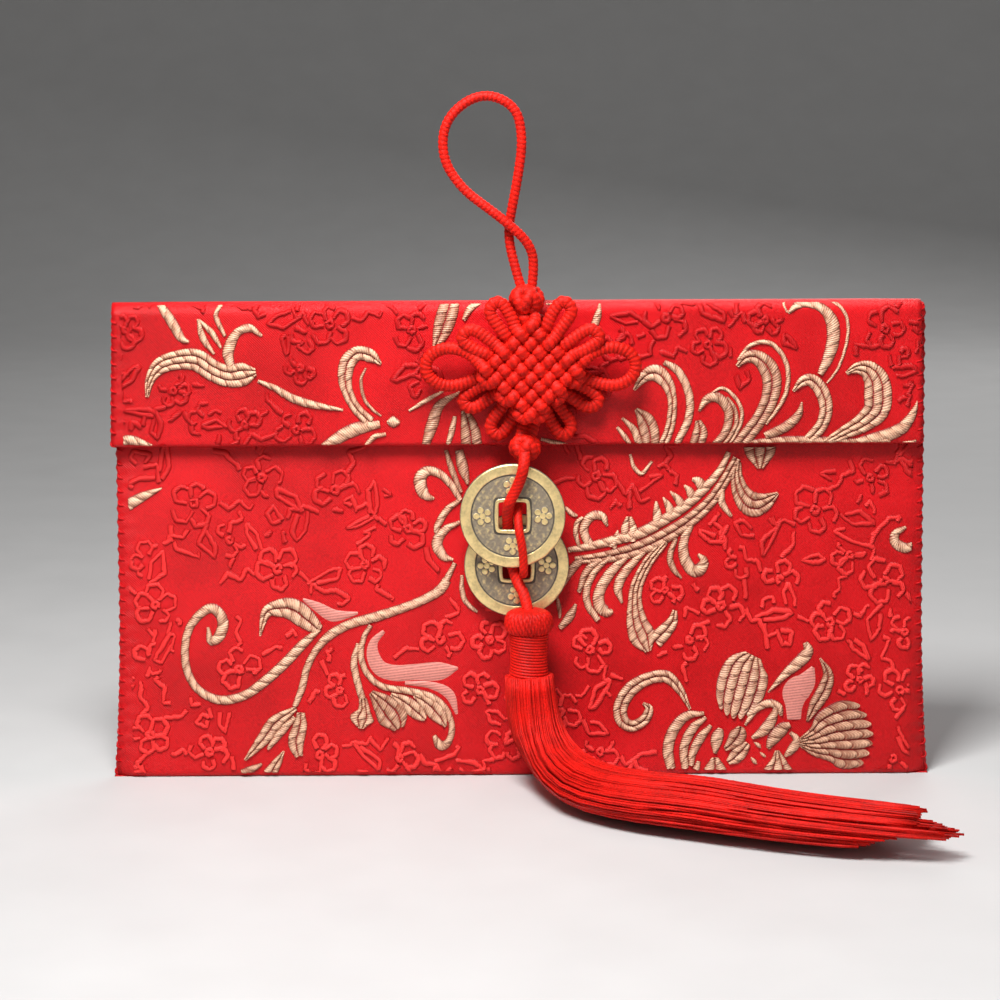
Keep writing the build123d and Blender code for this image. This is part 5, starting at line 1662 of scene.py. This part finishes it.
class ENVELOPE_OT_stage(bpy.types.Operator):
    """Floor, backdrop, soft lights and the photograph's camera"""

    bl_idname = "envelope.stage"
    bl_label = "Stage"

    def execute(self, context):
        scene = context.scene
        scene.view_settings.view_transform = "Standard"
        bend = np.linspace(0, 1, 40)[1:] * pi / 2
        flat = np.linspace(FLOOR_FRONT, BEND_START, 8)
        wall = np.full(len(BACKDROP_HEIGHTS), BEND_START + BEND_RADIUS)
        profile_y = np.concatenate((flat, BEND_START + BEND_RADIUS * np.sin(bend), wall))
        profile_z = np.concatenate((np.zeros(len(flat)), BEND_RADIUS * (1 - np.cos(bend)), BACKDROP_HEIGHTS))
        x = np.linspace(-FLOOR_HALF, FLOOR_HALF, 9)
        points = np.stack(np.broadcast_arrays(x[None, :], profile_y[:, None], profile_z[:, None]), axis=-1)
        shape = shape_of(points, grid_quads(len(profile_y), len(x)))
        mesh = bpy.data.meshes.new("floor")
        mesh.from_pydata((shape["points"] * MM).tolist(), [], shape["quads"].tolist())
        mesh.shade_smooth()
        mesh.materials.append(material("pale_floor"))
        floor = bpy.data.objects.new("floor", mesh)
        scene.collection.objects.link(floor)
        self.camera(scene)
        for lamp in LAMPS:
            self.lamp(scene, *lamp)
        scene.world = bpy.data.worlds.new("soft_room")
        scene.world.use_nodes = True
        sky = scene.world.node_tree.nodes["Background"]
        sky.inputs["Color"].default_value = SKY_COLOUR
        sky.inputs["Strength"].default_value = SKY_STRENGTH
        return {"FINISHED"}

    def camera(self, scene):
        data = bpy.data.cameras.new("photograph")
        data.sensor_width = SENSOR_WIDTH
        data.lens = SENSOR_WIDTH * FOCAL_PIXELS / PHOTO_WIDTH
        camera = bpy.data.objects.new("photograph", data)
        camera.matrix_world = Matrix.Translation(CAMERA_PLACE * MM) @ camera_turn().to_4x4()
        scene.collection.objects.link(camera)
        scene.camera = camera

    def lamp(self, scene, name, place, size, power):
        """A square area lamp that looks at the middle of the envelope."""
        data = bpy.data.lights.new(name, "AREA")
        data.size = size
        data.energy = power
        lamp = bpy.data.objects.new(name, data)
        lamp.location = place
        aim = np.array(LAMP_AIM) - np.array(place)
        forward = -unit(aim)
        right = unit(np.cross((0, 0, 1), forward))
        up = np.cross(forward, right)
        direction = Matrix(np.stack((right, up, forward), axis=1).tolist())
        lamp.rotation_euler = direction.to_euler()
        scene.collection.objects.link(lamp)


class ENVELOPE_OT_cords(bpy.types.Operator):
    """Hanging loop and the two cords through the coins"""

    bl_idname = "envelope.cords"
    bl_label = "Free cords"

    def execute(self, context):
        sizes = context.scene.envelope_sizes
        free_cord("hanging_loop", loop_route(), sizes.loop_cord, "loop", (0, 1, 0), 0.045, 1)
        free_cord("coin_strand_front", FRONT_STRAND_ROUTE, sizes.coin_cord, "coin_string", (1, 0, 0), 0.03, 9,
                  COIN_CORD_SPREAD)
        free_cord("coin_strand_back", BACK_STRAND_ROUTE, sizes.coin_cord, "coin_string", (1, 0, 0), 0.03, 9)
        return {"FINISHED"}


class ENVELOPE_OT_pocket(bpy.types.Operator):
    """Brocade of the pocket, its lining and its side stitches"""

    bl_idname = "envelope.pocket"
    bl_label = "Pocket"

    def execute(self, context):
        high = POCKET_HIGH[2]
        cloth = pouch_shape(0.0, CLOTH_THICKNESS, 0.0, high, CLOTH_THICKNESS, pocket_half)
        piece = make_piece("pocket_cloth", cloth, "silk_brocade", "pocket", ("pocket_cover",))
        lining = pouch_shape(LINING_OUTER, LINING_INNER, LINING_LOW[2], LINING_HIGH[2], LINING_FOOT,
                             lambda z: np.full_like(z, LINING_HIGH[0] + LINING_OUTER))
        piece = make_piece("pocket_lining_cloth", lining, "lining_silk", "pocket", ("pocket_lining",))
        side_stitches("side_stitches", "pocket", pocket_half, POCKET_STITCH_LOW, high, pocket_front, pocket_back)
        return {"FINISHED"}


class ENVELOPE_OT_flap(bpy.types.Operator):
    """Brocade of the flap and the strip over the mouth, lining and stitches"""

    bl_idname = "envelope.flap"
    bl_label = "Flap"

    def execute(self, context):
        cloth = make_piece("flap_cloth", flap_cloth_shape(), "silk_brocade", None, ("flap_cover",))
        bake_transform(cloth)
        tab = make_piece("back_crease_cloth", back_tab_shape(), "silk_brocade", None, ("top_fold",))
        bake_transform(tab)
        lining = panel_shape(FLAP_LINING_LOW, FLAP_LINING_HIGH)
        piece = make_piece("flap_lining_cloth", lining, "lining_silk", "flap", ("flap_lining",))
        side_stitches("flap_stitches", "flap", flap_half, FLAP_STITCH_LOW, FLAP_STITCH_HIGH, flap_front,
                      lambda x, _: np.full_like(x, FLAP_HIGH[1]), FLAP_SHIFT)
        return {"FINISHED"}


class ENVELOPE_OT_motifs(bpy.types.Operator):
    """Gold scrolls, pink petals and tone-on-tone sprigs woven into the brocade, pressed flat under the flap"""

    bl_idname = "envelope.motifs"
    bl_label = "Woven motifs"

    def execute(self, context):
        pocket = (POCKET_HALF - POCKET_MARGIN, *POCKET_PATTERN)
        flap = (FLAP_HIGH[0] - FLAP_MARGIN, FLAP_LOW[2] + FLAP_FOOT, FOLD_HIGH[2] - FLAP_HEAD)
        back = (POCKET_HALF - BACK_MARGIN, BACK_FOOT, POCKET_HIGH[2] - BACK_HEAD)
        covered = (POCKET_HALF - COVERED_MARGIN, flap[1], POCKET_HIGH[2] - COVERED_MARGIN)
        on_front = (on_pocket, pocket_front, pocket)
        on_back = (on_pocket, pocket_back, back)
        under_flap = (on_flap, pocket_front, covered)
        over_flap = (on_flap, flap_front, flap)
        for kind, pink in (("gold", False), ("pink", True)):
            self.weave("pocket_" + kind, gold_shape(POCKET_GOLD, *on_front, pink), kind + "_weft")
            self.weave("back_" + kind, gold_shape(POCKET_GOLD, *on_back, pink, mirrored=True), kind + "_weft")
        self.weave("flap_gold", gold_shape(FLAP_GOLD, *over_flap), "gold_weft", "flap")
        self.weave("back_upper_gold", gold_shape(FLAP_GOLD, on_flap, pocket_back, back, mirrored=True), "gold_weft")
        self.weave("covered_gold", gold_shape(FLAP_GOLD, *under_flap, pressed=PRESSED_SHARE), "gold_weft")
        shape = sprig_shape(FLAP_SPRIGS, FLAP_GOLD, *under_flap, pressed=PRESSED_SHARE)
        self.weave("covered_sprigs", shape, "satin_lines")
        self.weave("pocket_sprigs", sprig_shape(POCKET_SPRIGS, POCKET_GOLD, *on_front), "satin_lines")
        self.weave("flap_sprigs", sprig_shape(FLAP_SPRIGS, FLAP_GOLD, *over_flap), "satin_lines", "flap")
        shape = sprig_shape(POCKET_SPRIGS + FLAP_SPRIGS, POCKET_GOLD + FLAP_GOLD, *on_back, mirrored=True)
        self.weave("back_sprigs", shape, "satin_lines")
        return {"FINISHED"}

    def weave(self, name, shape, finish, body="pocket"):
        make_piece(name, shape, finish, body)


class ENVELOPE_OT_knot(bpy.types.Operator):
    """Woven knot, its round knots and the threads that tack it to the flap"""

    bl_idname = "envelope.knot"
    bl_label = "Knot"

    def execute(self, context):
        sizes = context.scene.envelope_sizes
        for name, route in zip(("left", "right"), knot_routes()):
            node = "knot_strand_" + name
            line = resampled(spline_line(node, route), KNOT_CORD_STEP)
            shape = cord_shape(line, sizes.knot_cord / 2 / MM, (0, 1, 0), 0.07, sizes.cord_ridge / MM, 1, 12,
                               KNOT_CORD_FLATNESS)
            make_piece(node + "_cord", shape, "knot_cord", "flap", (node,))
        for name, centre in (("upper", UPPER_BEAD), ("lower", LOWER_BEAD)):
            node = name + "_bead_knot"
            low, high = node_box(node)
            shape = bead_shape(centre, BEAD_GROWTH * (high[2] - low[2]) / 2)
            make_piece(node + "_cord", shape, "knot_cord", "flap", (node,))
        make_piece("knot_tack_threads", tack_shape(), "sewing_thread", "flap", ("knot_tacks",))
        return {"FINISHED"}


class ENVELOPE_OT_coins(bpy.types.Operator):
    """Two worn brass coins with square holes"""

    bl_idname = "envelope.coins"
    bl_label = "Coins"

    def execute(self, context):
        for name, centre in (("upper_coin", UPPER_COIN), ("lower_coin", LOWER_COIN)):
            make_piece(name + "_cast", coin_shape(centre), "worn_brass", name, (name,))
        return {"FINISHED"}


class ENVELOPE_OT_tassel(bpy.types.Operator):
    """Tassel with its head, wound neck and loose skirt"""

    bl_idname = "envelope.tassel"
    bl_label = "Tassel"

    def execute(self, context):
        make_piece("tassel_head_roll", head_shape(), "skirt_silk", "tassel", ("tassel_head",))
        make_piece("tassel_neck_binding", binding_shape(), "skirt_silk", "tassel",
                   ("tassel_neck", "tassel_binding"))
        make_piece("tassel_skirt_threads", skirt_shape(), "skirt_silk", "tassel", ("tassel_skirt",))
        return {"FINISHED"}


class ENVELOPE_OT_hidden(bpy.types.Operator):
    """Finishes of the boards and the press stud: the flap's board is bound in cloth, since its ends show"""

    bl_idname = "envelope.hidden"
    bl_label = "Boards and stud"

    def execute(self, context):
        for node in ("front_board", "back_board"):
            self.dress(node, "stiff_card")
        self.dress("flap_board", "silk_brocade")
        for node in ("stud", "stud_socket"):
            self.dress(node, "plated_steel")
        return {"FINISHED"}

    def dress(self, node, finish):
        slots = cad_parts[node].data.materials
        slots.clear()
        slots.append(material(finish))


class ENVELOPE_PT_panel(bpy.types.Panel):
    """Sizes, colours and steps of the envelope"""

    bl_idname = "ENVELOPE_PT_panel"
    bl_label = "Gift envelope"
    bl_space_type = "VIEW_3D"
    bl_region_type = "UI"
    bl_category = "Envelope"

    def draw(self, context):
        for group in (context.scene.envelope_sizes, context.scene.envelope_colours):
            for name in group.__annotations__:
                self.layout.prop(group, name)
        for step in STEPS:
            self.layout.operator(step.bl_idname)


STEPS = (ENVELOPE_OT_stage, ENVELOPE_OT_cords, ENVELOPE_OT_pocket, ENVELOPE_OT_flap, ENVELOPE_OT_motifs,
         ENVELOPE_OT_knot, ENVELOPE_OT_coins, ENVELOPE_OT_tassel, ENVELOPE_OT_hidden)
GROUPS = (EnvelopeSizes, EnvelopeColours)


def register():
    for kind in (*GROUPS, *STEPS, ENVELOPE_PT_panel):
        bpy.utils.register_class(kind)
    bpy.types.Scene.envelope_sizes = bpy.props.PointerProperty(type=EnvelopeSizes)
    bpy.types.Scene.envelope_colours = bpy.props.PointerProperty(type=EnvelopeColours)


def unregister():
    del bpy.types.Scene.envelope_colours
    del bpy.types.Scene.envelope_sizes
    for kind in reversed((*GROUPS, *STEPS, ENVELOPE_PT_panel)):
        bpy.utils.unregister_class(kind)


def main():
    """Make every piece in order."""
    register()
    bpy.ops.envelope.stage()
    bpy.ops.envelope.cords()
    bpy.ops.envelope.pocket()
    bpy.ops.envelope.flap()
    bpy.ops.envelope.motifs()
    bpy.ops.envelope.knot()
    bpy.ops.envelope.coins()
    bpy.ops.envelope.tassel()
    bpy.ops.envelope.hidden()


if __name__ == "__main__":
    main()
